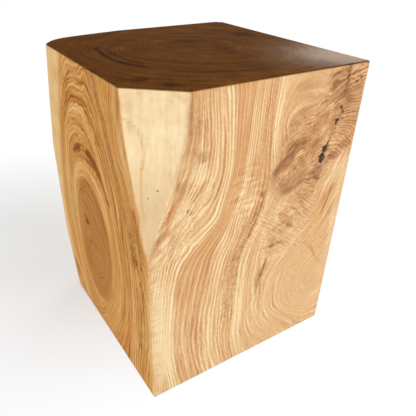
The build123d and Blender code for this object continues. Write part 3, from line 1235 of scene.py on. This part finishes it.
def wander(flat_points):
    """A small seeded shift that roughens the outline of a flaw."""
    shifts = [noise.noise_vector(Vector((a, b, wander_level)) / wander_size) for a, b in flat_points]
    return np.array(shifts)[:, :2] * wander_reach


def flaw_depths(middle_of_flaw, deepest, outline_of_flaw):
    """How far each point of the skin sinks into one flaw, in millimetres."""
    across, up, below = seen_on("front", points)
    drawn_place = np.column_stack([across, up])
    about_middle = drawn_place - middle_of_flaw
    near_flaw = np.flatnonzero((below < on_the_face) & (np.hypot(*about_middle.T) < search_radius))
    roughened = about_middle[near_flaw] + wander(drawn_place[near_flaw])
    depths = np.zeros(len(points))
    inside_flaw = depth_inside(roughened, outline_of_flaw)
    depths[near_flaw] = deepest * smooth_step((inside_flaw + wall_outside) / wall_run)
    return depths


flaw_depth = sum(flaw_depths(*flaw) for flaw in flaws)
print(f"flaws reach {flaw_depth.max():.1f} mm deep over {(flaw_depth > 0.5).sum()} points")

# %% Store the layers on the skin
layers = {
    "ring_count": rings,
    "burl_lines": burl_lines,
    "sapwood": sapwood,
    "end_grain": end_grain,
    "amber": amber,
    "natural": np.maximum(facet, bark),
    "flaw_depth": flaw_depth,
    **figure,
}
for layer_name, amounts in layers.items():
    stored_layer = skin_mesh.attributes.new(layer_name, "FLOAT", "POINT")
    stored_layer.data.foreach_set("value", amounts.astype(np.float32))
print("layers:", ", ".join(layers))

# %% The relief tree
relief = bpy.data.node_groups.new("Relief of the block", "GeometryNodeTree")
sizes_of_relief = {"Wave height": 0.0009, "Wave length": 0.045, "Flaw depth scale": 0.001, "Seed": 4.0}
relief.interface.new_socket("Skin", in_out="INPUT", socket_type="NodeSocketGeometry")
for size_name, size_value in sizes_of_relief.items():
    size_socket = relief.interface.new_socket(size_name, in_out="INPUT", socket_type="NodeSocketFloat")
    size_socket.default_value = size_value
relief.interface.new_socket("Finish", in_out="INPUT", socket_type="NodeSocketMaterial")
relief.interface.new_socket("Skin", in_out="OUTPUT", socket_type="NodeSocketGeometry")


def relief_math(operation, first, second, kind="ShaderNodeMath"):
    """The result of one sum in the relief tree."""
    return add_node(relief, kind, {0: first, 1: second}, operation=operation).outputs[0]


given = relief.nodes.new("NodeGroupInput")
natural_given, flaw_given = (
    add_node(relief, "GeometryNodeInputNamedAttribute", {"Name": layer_name}, data_type="FLOAT").outputs[0]
    for layer_name in ("natural", "flaw_depth")
)
skin_place = relief.nodes.new("GeometryNodeInputPosition").outputs[0]
facing = relief.nodes.new("GeometryNodeInputNormal").outputs[0]
wave_scale = relief_math("DIVIDE", 1.0, given.outputs["Wave length"])
wave_inputs = {"Vector": skin_place, "Scale": wave_scale, "W": given.outputs["Seed"], "Detail": 1.0}
waves = add_node(relief, "ShaderNodeTexNoise", wave_inputs, noise_dimensions="4D").outputs[0]
wave_height = relief_math("MULTIPLY", waves, given.outputs["Wave height"])
inwards = relief_math("MULTIPLY", relief_math("MULTIPLY", wave_height, natural_given), -1.0)
wave_move = add_node(relief, "ShaderNodeVectorMath", {0: facing, "Scale": inwards},
                     operation="SCALE").outputs[0]
sunk = relief_math("MULTIPLY", flaw_given, given.outputs["Flaw depth scale"])
flaw_move = add_node(relief, "ShaderNodeCombineXYZ", {1: sunk}).outputs[0]
move = relief_math("ADD", wave_move, flaw_move, "ShaderNodeVectorMath")
moved_skin = add_node(relief, "GeometryNodeSetPosition", {"Geometry": given.outputs["Skin"], "Offset": move})
single = add_node(relief, "GeometryNodeRealizeInstances", {"Geometry": moved_skin.outputs[0]})
finished = add_node(relief, "GeometryNodeSetMaterial",
                    {"Geometry": single.outputs[0], "Material": given.outputs["Finish"]})
add_node(relief, "NodeGroupOutput", {0: finished.outputs[0]})
print("relief tree with", len(relief.nodes), "nodes")

# %% [markdown]
# ## Oiled hardwood
#
# One finish covers the whole block, because it is one piece of wood with one coat of oil.
# Its colour comes from the stored layers. The ring count, shaken a little by noise, gives
# the fine lines along the grain. The figure darkens, reddens or pales them. On
# the two ends the same count gives the wide, dim rings of dark end grain, crossed by rays
# from the pith. Everything is worked out from places on the block, so that the pattern
# stays on the wood from any side.

# %% Helpers for colours and sums
finish = bpy.data.materials.new("oiled_hardwood")
finish.use_nodes = True
wood = finish.node_tree
wood.nodes.clear()


def colour(red, green, blue):
    """A colour read as screen values from 0 to 255, as the shader wants it."""
    shares = [value / 255 for value in (red, green, blue)]
    straight = [part / 12.92 if part <= 0.04045 else ((part + 0.055) / 1.055) ** 2.4 for part in shares]
    return (*straight, 1.0)


def layer(name):
    """One stored layer of the skin."""
    return add_node(wood, "ShaderNodeAttribute", attribute_name=name).outputs["Fac"]


def reckon(operation, first, second=0.0, third=0.0, clamp=False):
    """The result of one sum."""
    return add_node(wood, "ShaderNodeMath", {0: first, 1: second, 2: third}, operation=operation,
                    use_clamp=clamp).outputs[0]


def total_of(*parts):
    """Several values added up."""
    result = parts[0]
    for part in parts[1:]:
        result = reckon("ADD", result, part)
    return result


def times(first, second):
    """Two values multiplied."""
    return reckon("MULTIPLY", first, second)


def swing(value, reach):
    """A noise value moved to swing evenly about nothing, by up to half the reach."""
    return times(reckon("SUBTRACT", value, 0.5), reach)


def ease(value, low, high):
    """An easy slope from 0 at the low value to 1 at the high one."""
    return add_node(wood, "ShaderNodeMapRange", {"Value": value, "From Min": low, "From Max": high},
                    interpolation_type="SMOOTHSTEP").outputs[0]


print("middle grey is", colour(128, 128, 128)[0], "for the shader")


# %% Helpers for noise and blends
def cloud(vector, scale, detail=2.0, roughness=0.5):
    """Soft noise at a scale."""
    noise_inputs = {"Vector": vector, "Scale": scale, "Detail": detail, "Roughness": roughness}
    return add_node(wood, "ShaderNodeTexNoise", noise_inputs).outputs[0]


def ramp(value, stops):
    """A colour for each value, from stops of position and colour."""
    made = add_node(wood, "ShaderNodeValToRGB", {0: value})
    elements = made.color_ramp.elements
    elements[0].position, elements[0].color = stops[0]
    elements[1].position, elements[1].color = stops[-1]
    for position, tint in stops[1:-1]:
        elements.new(position).color = tint
    return made.outputs[0]


def blend(amount, first, second, mode="MIX"):
    """Two colours mixed by an amount."""
    return add_node(wood, "ShaderNodeMix", {0: amount, 6: first, 7: second}, data_type="RGBA",
                    blend_type=mode).outputs[2]


place = add_node(wood, "ShaderNodeTexCoord").outputs["Object"]
parts_of_place = add_node(wood, "ShaderNodeSeparateXYZ", {0: place}).outputs
sideways, inward_place, upright = parts_of_place
print("helpers for noise and blends are ready")

# %% [markdown]
# ### Ring lines
#
# A growth ring is never quite even. The count is first shaken by slow and by quick noise,
# more where the wood curls. Noise along the count, and only a little along the grain, then
# gives light and dark lines of uneven width. The rings that stand out, such as the dark
# lines that edge the broad orange band of the front face, are laid over that as ramps, each
# step with its ring and its tone. One ramp holds 32 steps at most, so there are three of
# them, from the bark inwards.
#
# In every sum of this finish, the number beside a noise says how strongly that noise counts.
# Those numbers were found beside the photograph.

# %% The ring count, shaken
count = layer("ring_count")
curl = layer("curl")
amber_and_painted_shade = layer("amber")
slow = cloud(place, 26.0, 1.0)
medium = cloud(place, 75.0, 2.0)
quick = cloud(place, 260.0, 2.0)
wobble = total_of(
    swing(slow, 3.0),
    swing(medium, 1.6),
    times(swing(medium, 6.0), curl),
    swing(quick, 0.8),
    times(swing(quick, 2.6), curl),
)
shaken = total_of(count, wobble)
steady = total_of(count, swing(slow, 0.9), swing(medium, 0.5), times(swing(medium, 4.0), curl))
print("count shaken by three noises for the fine lines, and by two for the lines that stand out")

# %% Noise drawn out into lines
drift_scale = 16.0
push_of_lines = 9.0
drift = times(total_of(sideways, inward_place), drift_scale)


def lines(source, per_ring, along=14.0, detail=2.0):
    """Noise across the rings, so that it draws lines along them."""
    drawn_out = {0: times(source, per_ring), 1: times(upright, along), 2: drift}
    return cloud(add_node(wood, "ShaderNodeCombineXYZ", drawn_out).outputs[0], 1.0, detail)


def ring_wave(source, rings_apart, pushed_by):
    """Even lines a few rings apart, from -1 to 1, pushed about by a noise value."""
    phase = total_of(times(source, 2 * pi / rings_apart), swing(pushed_by, push_of_lines))
    return reckon("SINE", phase)


broad_lines = lines(shaken, 0.12)
main_lines = lines(shaken, 0.5, 9.0)
fine_lines = lines(shaken, 1.1, 20.0)
fibre = lines(shaken, 4.0, 70.0)
even_lines = ring_wave(shaken, 3.4, broad_lines)
broken_lines = lines(shaken, 0.42, 60.0)
print("six kinds of lines, from broad ones to fibres")

# %% The rings that stand out, each with its count and its tone
ring_span = 256.0
bark_rings = [
    (50, 0.5), (53, 0.36), (54.6, 0.56), (56.1, 0.34), (57.7, 0.58), (59.3, 0.32), (61, 0.58), (62.6, 0.36),
    (64.3, 0.6), (65.9, 0.36), (67.8, 0.62), (69.4, 0.4), (71.2, 0.64), (72.8, 0.42), (74.6, 0.66),
    (76.2, 0.4), (78, 0.5),
]
outer_rings = [
    (78, 0.5), (78.8, 0.62), (80.4, 0.36), (82.6, 0.76), (84.4, 0.42), (86.4, 0.68), (88.2, 0.42), (90, 0.7),
    (91.7, 0.4), (93.3, 0.7), (94.8, 0.4), (96.2, 0.9), (97.7, 0.38), (99.4, 0.9), (101, 0.46), (102.3, 0.6),
    (103.5, 0.4), (105, 0.28), (107.4, 0.54), (109.8, 0.22), (112.6, 0.64), (116.2, 0.26), (118.7, 0.62),
    (121.1, 0.22), (123.3, 0.5), (124.8, 0.3), (126.4, 0.5),
]
inner_rings = [
    (126.4, 0.5), (127.2, 0.62), (128.6, 0.48), (130.3, 0.74), (131.7, 0.46), (133.1, 0.7), (134.6, 0.44),
    (136.1, 0.72), (137.6, 0.46), (139.1, 0.64), (141, 0.46), (143, 0.54), (146, 0.44), (155, 0.42),
    (158, 0.52), (161, 0.74), (163, 0.54), (165.2, 0.7), (168, 0.48), (172, 0.46), (175, 0.52), (178, 0.6),
    (184, 0.48), (204, 0.48), (256, 0.45),
]
ring_lists = (bark_rings, outer_rings, inner_rings)
ring_share = times(steady, 1 / ring_span)
bark_standing, outer_standing, inner_standing = (
    ramp(ring_share, [(ring / ring_span, (shade, shade, shade, 1)) for ring, shade in listed])
    for listed in ring_lists
)
# Outside its own rings a ramp holds the middle tone, a half, so two halves are taken off again
standing = total_of(bark_standing, outer_standing, inner_standing, -1.0)
print(sum(len(listed) for listed in ring_lists), "steps in the lists of rings that stand out")

# %% The tone of the lines
# The rings that stand out are a little stronger high up, and all lines are stronger in patches,
# fainter where the calm layer is laid on and stronger on the left face
stronger_from, stronger_to = 0.15, 0.24
standing_share = total_of(0.85, times(ease(upright, stronger_from, stronger_to), 0.2))
patch = ease(cloud(place, 55.0, 2.0), 0.34, 0.66)
strength_of_lines = total_of(0.72, times(patch, 0.72))
line_tone = total_of(
    swing(broad_lines, 0.4),
    times(swing(main_lines, 0.55), strength_of_lines),
    times(times(even_lines, 0.1), strength_of_lines),
    times(swing(fine_lines, 0.7), strength_of_lines),
    swing(fibre, 0.35),
    times(swing(broken_lines, 1.3), curl),
    times(swing(standing, 1.0), standing_share),
)
calming = reckon("SUBTRACT", 1.0, times(layer("calm"), 0.72))
on_left_share = total_of(1.0, times(amber_and_painted_shade, 0.1))
calm_tone = times(times(line_tone, calming), on_left_share)
grit = cloud(place, 340.0, 2.0)
print("tone of the lines from seven parts")

# %% [markdown]
# ### Bars across the grain
#
# Where the fibres of a tree run in waves, light and dark bars show across the grain, as on
# the back of a violin. They could be ridges, but on sanded wood they are only a change of
# tone. Noise that is drawn out along the bar and squeezed across it gives them, and two
# layers say where they show, one for level bars and one for slanting ones.

# %% Bars across the grain
push_of_bars = 22.0


def bars(turn, across_scale, along_scale):
    """Noise drawn out into short bars, whose short way lies at an angle on the front face."""
    short_way = total_of(times(sideways, cos(turn) * across_scale), times(upright, sin(turn) * across_scale))
    long_way = total_of(times(upright, cos(turn) * along_scale), times(sideways, -sin(turn) * along_scale))
    drawn_out = {0: short_way, 1: long_way, 2: times(inward_place, along_scale)}
    return cloud(add_node(wood, "ShaderNodeCombineXYZ", drawn_out).outputs[0], 1.0, 1.5)


def ripples(turn, pitch, pushed_by):
    """Even bars a pitch apart in metres, from -1 to 1, pushed about by a noise value."""
    short_way = total_of(times(sideways, cos(turn)), times(upright, sin(turn)))
    return reckon("SINE", total_of(times(short_way, 2 * pi / pitch), swing(pushed_by, push_of_bars)))


slant, level = radians(52), radians(90)
slant_tone = total_of(swing(bars(slant, 400.0, 70.0), 0.8), times(ripples(slant, 0.0042, slow), 0.07))
level_tone = total_of(swing(bars(level, 230.0, 45.0), 0.8), times(ripples(level, 0.0075, slow), 0.05))
slant_bars = times(slant_tone, layer("slant_bars"))
level_bars = times(level_tone, layer("level_bars"))
print("bars slant at 52 degrees, and lie level where the other layer is laid on")

# %% The tone of the whole block, a little lighter low down
lighter_from, lighter_to = 0.21, 0.1
lift = times(ease(upright, lighter_from, lighter_to), 0.08)
tone = total_of(0.5, lift, calm_tone, slant_bars, level_bars, swing(grit, 0.3))
print(f"lighter below {lighter_from} m, most below {lighter_to} m")

# %% [markdown]
# ### Long grain
#
# On the real block the front is honey coloured and the left face a deeper amber, because
# the oil sank in differently and the photograph has the left face in shade. The tone of the
# lines could be painted, but as a number it can run through two ramps, one for each of the
# two woods, and a layer blends between them round the corner. The burl and the
# brown patches get ramps of their own, mixed in by how strongly each was laid on.

# %% Long grain: honey in front, amber at the left
honey = ramp(tone, [
    (0.0, colour(186, 124, 78)),
    (0.26, colour(206, 149, 101)),
    (0.5, colour(223, 177, 126)),
    (0.74, colour(240, 206, 156)),
    (1.0, colour(251, 229, 184)),
])
# Deeper, darker amber of the left face: partly its own colour and partly painted shade
deep_amber_and_painted_shade = ramp(tone, [
    (0.0, colour(152, 90, 34)),
    (0.28, colour(188, 123, 56)),
    (0.5, colour(213, 152, 83)),
    (0.75, colour(228, 173, 102)),
    (1.0, colour(242, 199, 132)),
])
# The orange band lies between two rings and shows more from a tenth of a metre up
band_outside, band_inside, band_edge = 101.0, 126.0, 5.0
more_from, more_to = 0.1, 0.26
in_band = times(ease(shaken, band_outside, band_outside + band_edge),
                ease(shaken, band_inside, band_inside - band_edge))
band_share = total_of(0.03, times(ease(upright, more_from, more_to), 0.25))
banded = blend(times(in_band, band_share), honey, colour(218, 156, 98))
long_grain = blend(amber_and_painted_shade, banded, deep_amber_and_painted_shade)
print(f"orange band between the counts {band_outside:.0f} and {band_inside:.0f}")

# %% The burl
burl = layer("burl")
burl_count = total_of(layer("burl_lines"), swing(slow, 9.0), swing(medium, 6.0), swing(quick, 1.2))
burl_main = lines(burl_count, 0.6)
burl_fine = lines(burl_count, 1.6, 30.0)
burl_even = ring_wave(burl_count, 2.9, lines(burl_count, 0.12))
mottle = cloud(place, 120.0, 3.0, 0.6)
patchy = cloud(place, 45.0, 2.0)
burl_tone = total_of(
    0.5,
    swing(burl_main, 0.6),
    times(burl_even, 0.14),
    swing(burl_fine, 0.8),
    swing(mottle, 1.15),
    swing(grit, 0.4),
    swing(patchy, 0.7),
)
burl_wood = ramp(burl_tone, [
    (0.0, colour(146, 94, 58)),
    (0.28, colour(180, 126, 82)),
    (0.52, colour(208, 157, 110)),
    (0.78, colour(224, 178, 128)),
    (1.0, colour(240, 202, 150)),
])
broken_burl = total_of(burl, times(swing(patchy, 1.0), burl), times(swing(mottle, 0.5), burl))
burl_amount = ease(broken_burl, 0.12, 1.0)
with_burl = blend(burl_amount, long_grain, burl_wood)
print("burl mixed")

# %% The brown patches, with edges that noise has eaten into
own_brown = layer("brown")
ragged = total_of(
    swing(mottle, 1.0),
    times(swing(quick, 1.1), total_of(0.3, times(amber_and_painted_shade, 1.0))),
    times(swing(mottle, 2.6), curl),
    times(swing(mottle, 2.2), layer("slant_bars")),
)
brown_amount = ease(total_of(own_brown, times(ragged, own_brown)), 0.05, 1.1)
brown_lines = blend(burl_amount, main_lines, burl_main)
brown_fine = blend(burl_amount, fine_lines, burl_fine)
brown_tone = total_of(
    0.5,
    swing(brown_lines, 0.8),
    swing(brown_fine, 0.7),
    swing(mottle, 0.7),
    times(slant_bars, 0.5),
    times(level_bars, 0.5),
    times(times(burl_even, burl_amount), 0.12),
)
honey_brown = ramp(brown_tone, [
    (0.0, colour(112, 68, 46)),
    (0.4, colour(154, 104, 70)),
    (0.7, colour(182, 132, 92)),
    (1.0, colour(212, 164, 118)),
])
# Brown patches of the left face, darker in part with painted shade
amber_brown_and_painted_shade = ramp(brown_tone, [
    (0.0, colour(84, 42, 8)),
    (0.4, colour(122, 68, 18)),
    (0.7, colour(156, 94, 34)),
    (1.0, colour(190, 128, 62)),
])
brown_wood = blend(amber_and_painted_shade, honey_brown, amber_brown_and_painted_shade)
with_brown = blend(times(brown_amount, 0.9), with_burl, brown_wood)
print("brown patches mixed")

# %% [markdown]
# ### Stains
#
# Reddish, pale, golden and dark stains lie over the lines without following them closely.
# Each is one soft layer and one colour. A plain mix would leave the round shape of the soft
# spots visible, so the layer is first broken up by noise, which eats into its edge the most.

# %% Stains over the long grain
def stained(base, kind, raggedness, share, tint, mode="MIX"):
    """The wood with one kind of figure mixed over it, its edge broken up by noise."""
    laid = layer(kind)
    amount = ease(total_of(laid, times(swing(mottle, raggedness), laid)), 0.03, 1.1)
    return blend(times(amount, share), base, tint, mode)


with_oval = stained(with_brown, "oval", 0.2, 1.0, colour(221, 205, 192), "MULTIPLY")
with_red = stained(with_oval, "red", 1.0, 0.6, colour(202, 126, 76))
pale_wood = blend(amber_and_painted_shade, colour(251, 228, 180), colour(238, 198, 134))
with_pale = stained(with_red, "pale", 1.0, 0.64, pale_wood)
with_gold = stained(with_pale, "gold", 1.3, 0.44, colour(228, 172, 104))
with_dusk = stained(with_gold, "dusk", 0.9, 0.85, colour(122, 68, 46))
print("stains mixed")

# %% [markdown]
# ### Sapwood
#
# Where the bark came off, the outermost wood is left: pale, nearly without lines, with faint
# upright streaks and a few veins. Noise that is stretched upright gives the streaks. The
# near corner is cream coloured and the far one yellow, and the far one darkens to brown at
# its foot, which takes one more blend by height.

# %% Sapwood of the natural corners
streak_scale = (240.0, 240.0, 9.0)
stain_top, stain_full = 0.115, 0.07
streak_vector = add_node(wood, "ShaderNodeVectorMath", {0: place, 1: streak_scale},
                         operation="MULTIPLY").outputs[0]
streaks = cloud(streak_vector, 1.0, 3.0)
sap_tone = total_of(0.5, swing(streaks, 0.75), swing(patchy, 0.9), swing(mottle, 0.5), swing(grit, 0.25))
near_sap = ramp(sap_tone, [
    (0.0, colour(220, 182, 134)),
    (0.45, colour(244, 215, 168)),
    (1.0, colour(254, 236, 196)),
])
far_sap = ramp(sap_tone, [
    (0.0, colour(206, 150, 90)),
    (0.45, colour(251, 216, 153)),
    (1.0, colour(255, 236, 186)),
])
sap = blend(amber_and_painted_shade, near_sap, far_sap)
low_stain = times(times(amber_and_painted_shade, layer("natural")), ease(upright, stain_top, stain_full))
low_sap = blend(times(low_stain, 0.9), sap, colour(186, 122, 60))
dull_sap = stained(low_sap, "dull", 1.2, 0.66, colour(218, 184, 138))
veined_sap = stained(dull_sap, "vein", 0.8, 0.65, colour(222, 168, 106))
with_sap = blend(layer("sapwood"), with_dusk, veined_sap)
print("sapwood mixed")

# %% [markdown]
# ### End grain
#
# On the ends the fibres are cut across and drink the oil, so the wood turns deep brown. Part
# of that dark brown is painted shade on top of the wood's own colour. The same count of rings
# is used here, but wider and dimmer, and noise round the angle from the pith adds the fine
# rays that cross the rings in real hardwood. Small pores come last.

# %% End grain
end_lines = lines(shaken, 0.05, 0.0, 3.0)
end_fine = lines(shaken, 0.3, 0.0, 2.0)
end_even = ring_wave(count, 7.0, end_lines)
pith_across, pith_behind = (float(part) for part in in_metres((*pith, 0))[:2])
pith_angle = reckon("ARCTAN2", reckon("SUBTRACT", inward_place, pith_behind),
                    reckon("SUBTRACT", sideways, pith_across))
ray_inputs = {0: times(pith_angle, 55.0), 1: times(count, 0.02)}
rays = cloud(add_node(wood, "ShaderNodeCombineXYZ", ray_inputs).outputs[0], 1.0, 3.0, 0.6)
pores = cloud(place, 900.0, 1.0)
end_tone = total_of(
    0.5,
    swing(end_lines, 0.9),
    swing(end_fine, 0.5),
    times(end_even, 0.05),
    swing(rays, 0.45),
    swing(pores, 0.35),
    swing(patchy, 0.5),
    times(layer("red"), 0.2),
    times(own_brown, -0.45),
)
# Deep brown of the ends, partly the end grain's own colour and partly painted shade
end_grain_with_painted_shade = ramp(end_tone, [
    (0.0, colour(52, 27, 5)),
    (0.35, colour(83, 46, 9)),
    (0.65, colour(101, 60, 15)),
    (1.0, colour(128, 82, 30)),
])
with_ends = blend(layer("end_grain"), with_sap, end_grain_with_painted_shade)
print("end grain mixed")

# %% [markdown]
# ### Specks and cracks
#
# A few dark specks and hairline cracks are smaller than the points of the skin are apart, so
# no stored layer can hold them. Each is an ellipsoid in space, with its middle on the face,
# and every place inside it turns dark. Its place is shaken by noise, so that the edge is not
# a clean oval. The walls of the two open flaws are dull and grey brown, partly their own
# colour and partly painted shade in the hollows.

# %% Specks and cracks, and where they lie
specks = [
    # face, middle, half sizes, turn in degrees, strength
    ("front", (50, 274), (1.1, 2.8), -30, 0.8),
    ("front", (54, 270), (0.9, 2.2), -30, 0.7),
    ("front", (82, 296), (0.8, 5), -12, 0.5),
    ("front", (23, 209), (0.8, 5), -4, 0.5),
    ("front", (279, 379), (4.5, 1.5), 20, 0.9),
    ("front", (285, 383), (2.0, 2.4), 20, 0.7),
    ("front", (261, 351), (1.8, 4.4), 38, 0.9),
    ("front", (265, 345), (2.8, 1.8), -20, 0.85),
    ("front", (272, 352), (5, 1.1), 30, 0.45),
    ("front", (266, 336), (3.2, 1.2), 25, 0.6),
    ("front", (257, 326), (1.4, 1.6), 0, 0.7),
    ("front", (241, 264), (3.0, 1.2), -10, 0.5),
    ("front", (20, 302), (0.8, 1.3), 25, 0.75),
    ("front", (11, 294), (0.9, 0.9), 0, 0.6),
    ("front", (10, 323), (0.6, 1.3), 0, 0.55),
    ("front", (168, 154), (2.0, 6.5), -12, 0.4),
    ("front", (164, 138), (1.6, 10), -15, 0.25),
    ("front", (160, 119), (1.4, 12), -12, 0.15),
    ("front", (152, 265), (2.4, 4.5), 0, 0.6),
    ("front", (138, 212), (1.6, 3), -25, 0.55),
    ("front", (263, 384), (1.8, 13), 2, 0.22),
    ("front", (266, 221), (1.9, 14), -17, 0.3),
    ("front", (271, 238), (1.9, 7), -20, 0.35),
    ("front", (261, 230), (2.2, 6), -15, 0.2),
    ("front", (270, 148), (0.9, 8), 40, 0.1),
    ("top", (174, 108), (2.0, 7), 25, 0.8),
]
print(len(specks), "specks and cracks")

# %% A place shaken by noise, so that no speck has a clean edge
warp_reach = 0.0016
warp_inputs = {"Vector": place, "Scale": 300.0, "Detail": 2.0}
speck_warp = add_node(wood, "ShaderNodeTexNoise", warp_inputs).outputs["Color"]
even_warp = add_node(wood, "ShaderNodeVectorMath", {0: speck_warp, 1: (0.5, 0.5, 0.5)},
                     operation="SUBTRACT").outputs[0]
small_warp = add_node(wood, "ShaderNodeVectorMath", {0: even_warp, "Scale": warp_reach},
                      operation="SCALE").outputs[0]
warped_place = add_node(wood, "ShaderNodeVectorMath", {0: place, 1: small_warp}, operation="ADD").outputs[0]
print(f"shaken by up to {warp_reach / 2 / mm:.1f} mm")

# %% The dark of the specks
# On the near natural corner the wood lies far behind the plane of the front, so the specks there
# reach deep enough to meet it
speck_below, deep_speck = 4.0, 40.0
corner_right, corner_foot = 30, 280
speck_outside, speck_full = 1.3, 0.5


def speck(face, centre, half_sizes, turn):
    """One inside an ellipsoid about a point of a face, and nothing outside it."""
    on_front = face == "front"
    on_natural_corner = on_front and centre[0] < corner_right and centre[1] > corner_foot
    reach_below = deep_speck if on_natural_corner else speck_below
    reach = (half_sizes[0], reach_below, half_sizes[1]) if on_front else (*half_sizes, reach_below)
    ellipsoid = {
        "Vector": warped_place,
        "Location": tuple(in_metres(on_face(face, *centre))),
        "Rotation": (0, radians(-turn), 0) if on_front else (0, 0, radians(turn)),
        "Scale": tuple(part * mm for part in reach),
    }
    in_ellipsoid = add_node(wood, "ShaderNodeMapping", ellipsoid, vector_type="TEXTURE").outputs[0]
    measured = add_node(wood, "ShaderNodeVectorMath", {0: in_ellipsoid}, operation="LENGTH")
    return ease(measured.outputs["Value"], speck_outside, speck_full)


speck_amount = 0.0
for face, centre, half_sizes, turn, strength in specks:
    dark = times(speck(face, centre, half_sizes, turn), strength)
    speck_amount = reckon("MAXIMUM", speck_amount, dark)
speck_wood = blend(layer("end_grain"), colour(104, 52, 36), colour(48, 22, 10))
with_specks = blend(speck_amount, with_ends, speck_wood)
print("specks and cracks mixed")

# %% The dark of the flaws, partly their own grey brown and partly painted shade
flaw_amount = ease(layer("flaw_depth"), 0.05, 1.0)
flaw_grit = cloud(place, 380.0, 2.0, 0.6)
flaw_walls_and_painted_shade = ramp(flaw_grit, [
    (0.3, colour(94, 78, 76)),
    (0.55, colour(138, 114, 102)),
    (0.72, colour(190, 146, 108)),
])
wood_colour = blend(flaw_amount, with_specks, flaw_walls_and_painted_shade)
print("flaws mixed")

# %% [markdown]
# ### Oil
#
# The oil leaves the wood almost matt, a little smoother between the lines and on the right
# of the top, where the window light of the photograph glances off it. The lines and pores
# can be felt as well as seen, but they are far finer than the skin's points, so a slight
# bump gives them, while the flaws and the waves of the natural corners are real shape.

# %% Oil, roughness and touch
sheen_middle = tuple(in_metres((296, 30, 400)))
sheen_outside, sheen_full = 0.15, 0.02
plain_roughness, smoother_by = 0.74, 0.58
bump_strength, bump_height = 0.3, 0.00025
oil_mirror = 0.04
from_sheen = add_node(wood, "ShaderNodeVectorMath", {0: place, 1: sheen_middle},
                      operation="DISTANCE").outputs["Value"]
worn_smooth = times(ease(from_sheen, sheen_outside, sheen_full), layer("end_grain"))
roughness = total_of(
    plain_roughness,
    swing(mottle, 0.14),
    swing(main_lines, 0.1),
    times(layer("end_grain"), 0.2),
    times(worn_smooth, -smoother_by),
)
touch = total_of(
    times(main_lines, 0.5),
    times(fine_lines, 0.4),
    times(fibre, 0.25),
    times(pores, 0.3),
    times(flaw_amount, times(mottle, 3.0)),
)
bump_inputs = {"Strength": bump_strength, "Distance": bump_height, "Height": touch}
bump = add_node(wood, "ShaderNodeBump", bump_inputs).outputs[0]
oiled = add_node(wood, "ShaderNodeBsdfPrincipled", {
    "Base Color": wood_colour,
    "Roughness": roughness,
    "Normal": bump,
    "Specular IOR Level": oil_mirror,
})
add_node(wood, "ShaderNodeOutputMaterial", {"Surface": oiled.outputs[0]})
print("finish with", len(wood.nodes), "nodes")

# %% [markdown]
# ## The finished piece
#
# The relief tree runs once, its result becomes a plain mesh, and only that mesh is handed
# to the frame. It stands for the solid's node and rides on the one body of the block.

# %% Run the relief once
rough_block = bpy.data.objects.new("rough_block", skin_mesh)
bpy.context.scene.collection.objects.link(rough_block)
modifier = rough_block.modifiers.new("Relief", "NODES")
modifier.node_group = relief
for item in relief.interface.items_tree:
    if item.in_out == "INPUT" and item.name in sizes_of_relief:
        modifier[item.identifier] = sizes_of_relief[item.name]
    if item.in_out == "INPUT" and item.name == "Finish":
        modifier[item.identifier] = finish
seen_by = bpy.context.evaluated_depsgraph_get()
shaped_block = rough_block.evaluated_get(seen_by)
block_mesh = bpy.data.meshes.new_from_object(shaped_block, preserve_all_data_layers=True, depsgraph=seen_by)
bpy.data.objects.remove(rough_block)
block_mesh.name = "figured_wood_block"
block_mesh.shade_smooth()
triangles = sum(len(face.vertices) - 2 for face in block_mesh.polygons)
print(f"block of {triangles} triangles, materials {[made.name for made in block_mesh.materials]}")

# %% Hand the block over
block = bpy.data.objects.new("figured_wood_block", block_mesh)
bpy.context.scene.collection.objects.link(block)
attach(block, "root")
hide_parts("wood_block")
print("figured_wood_block handed over in place of wood_block")
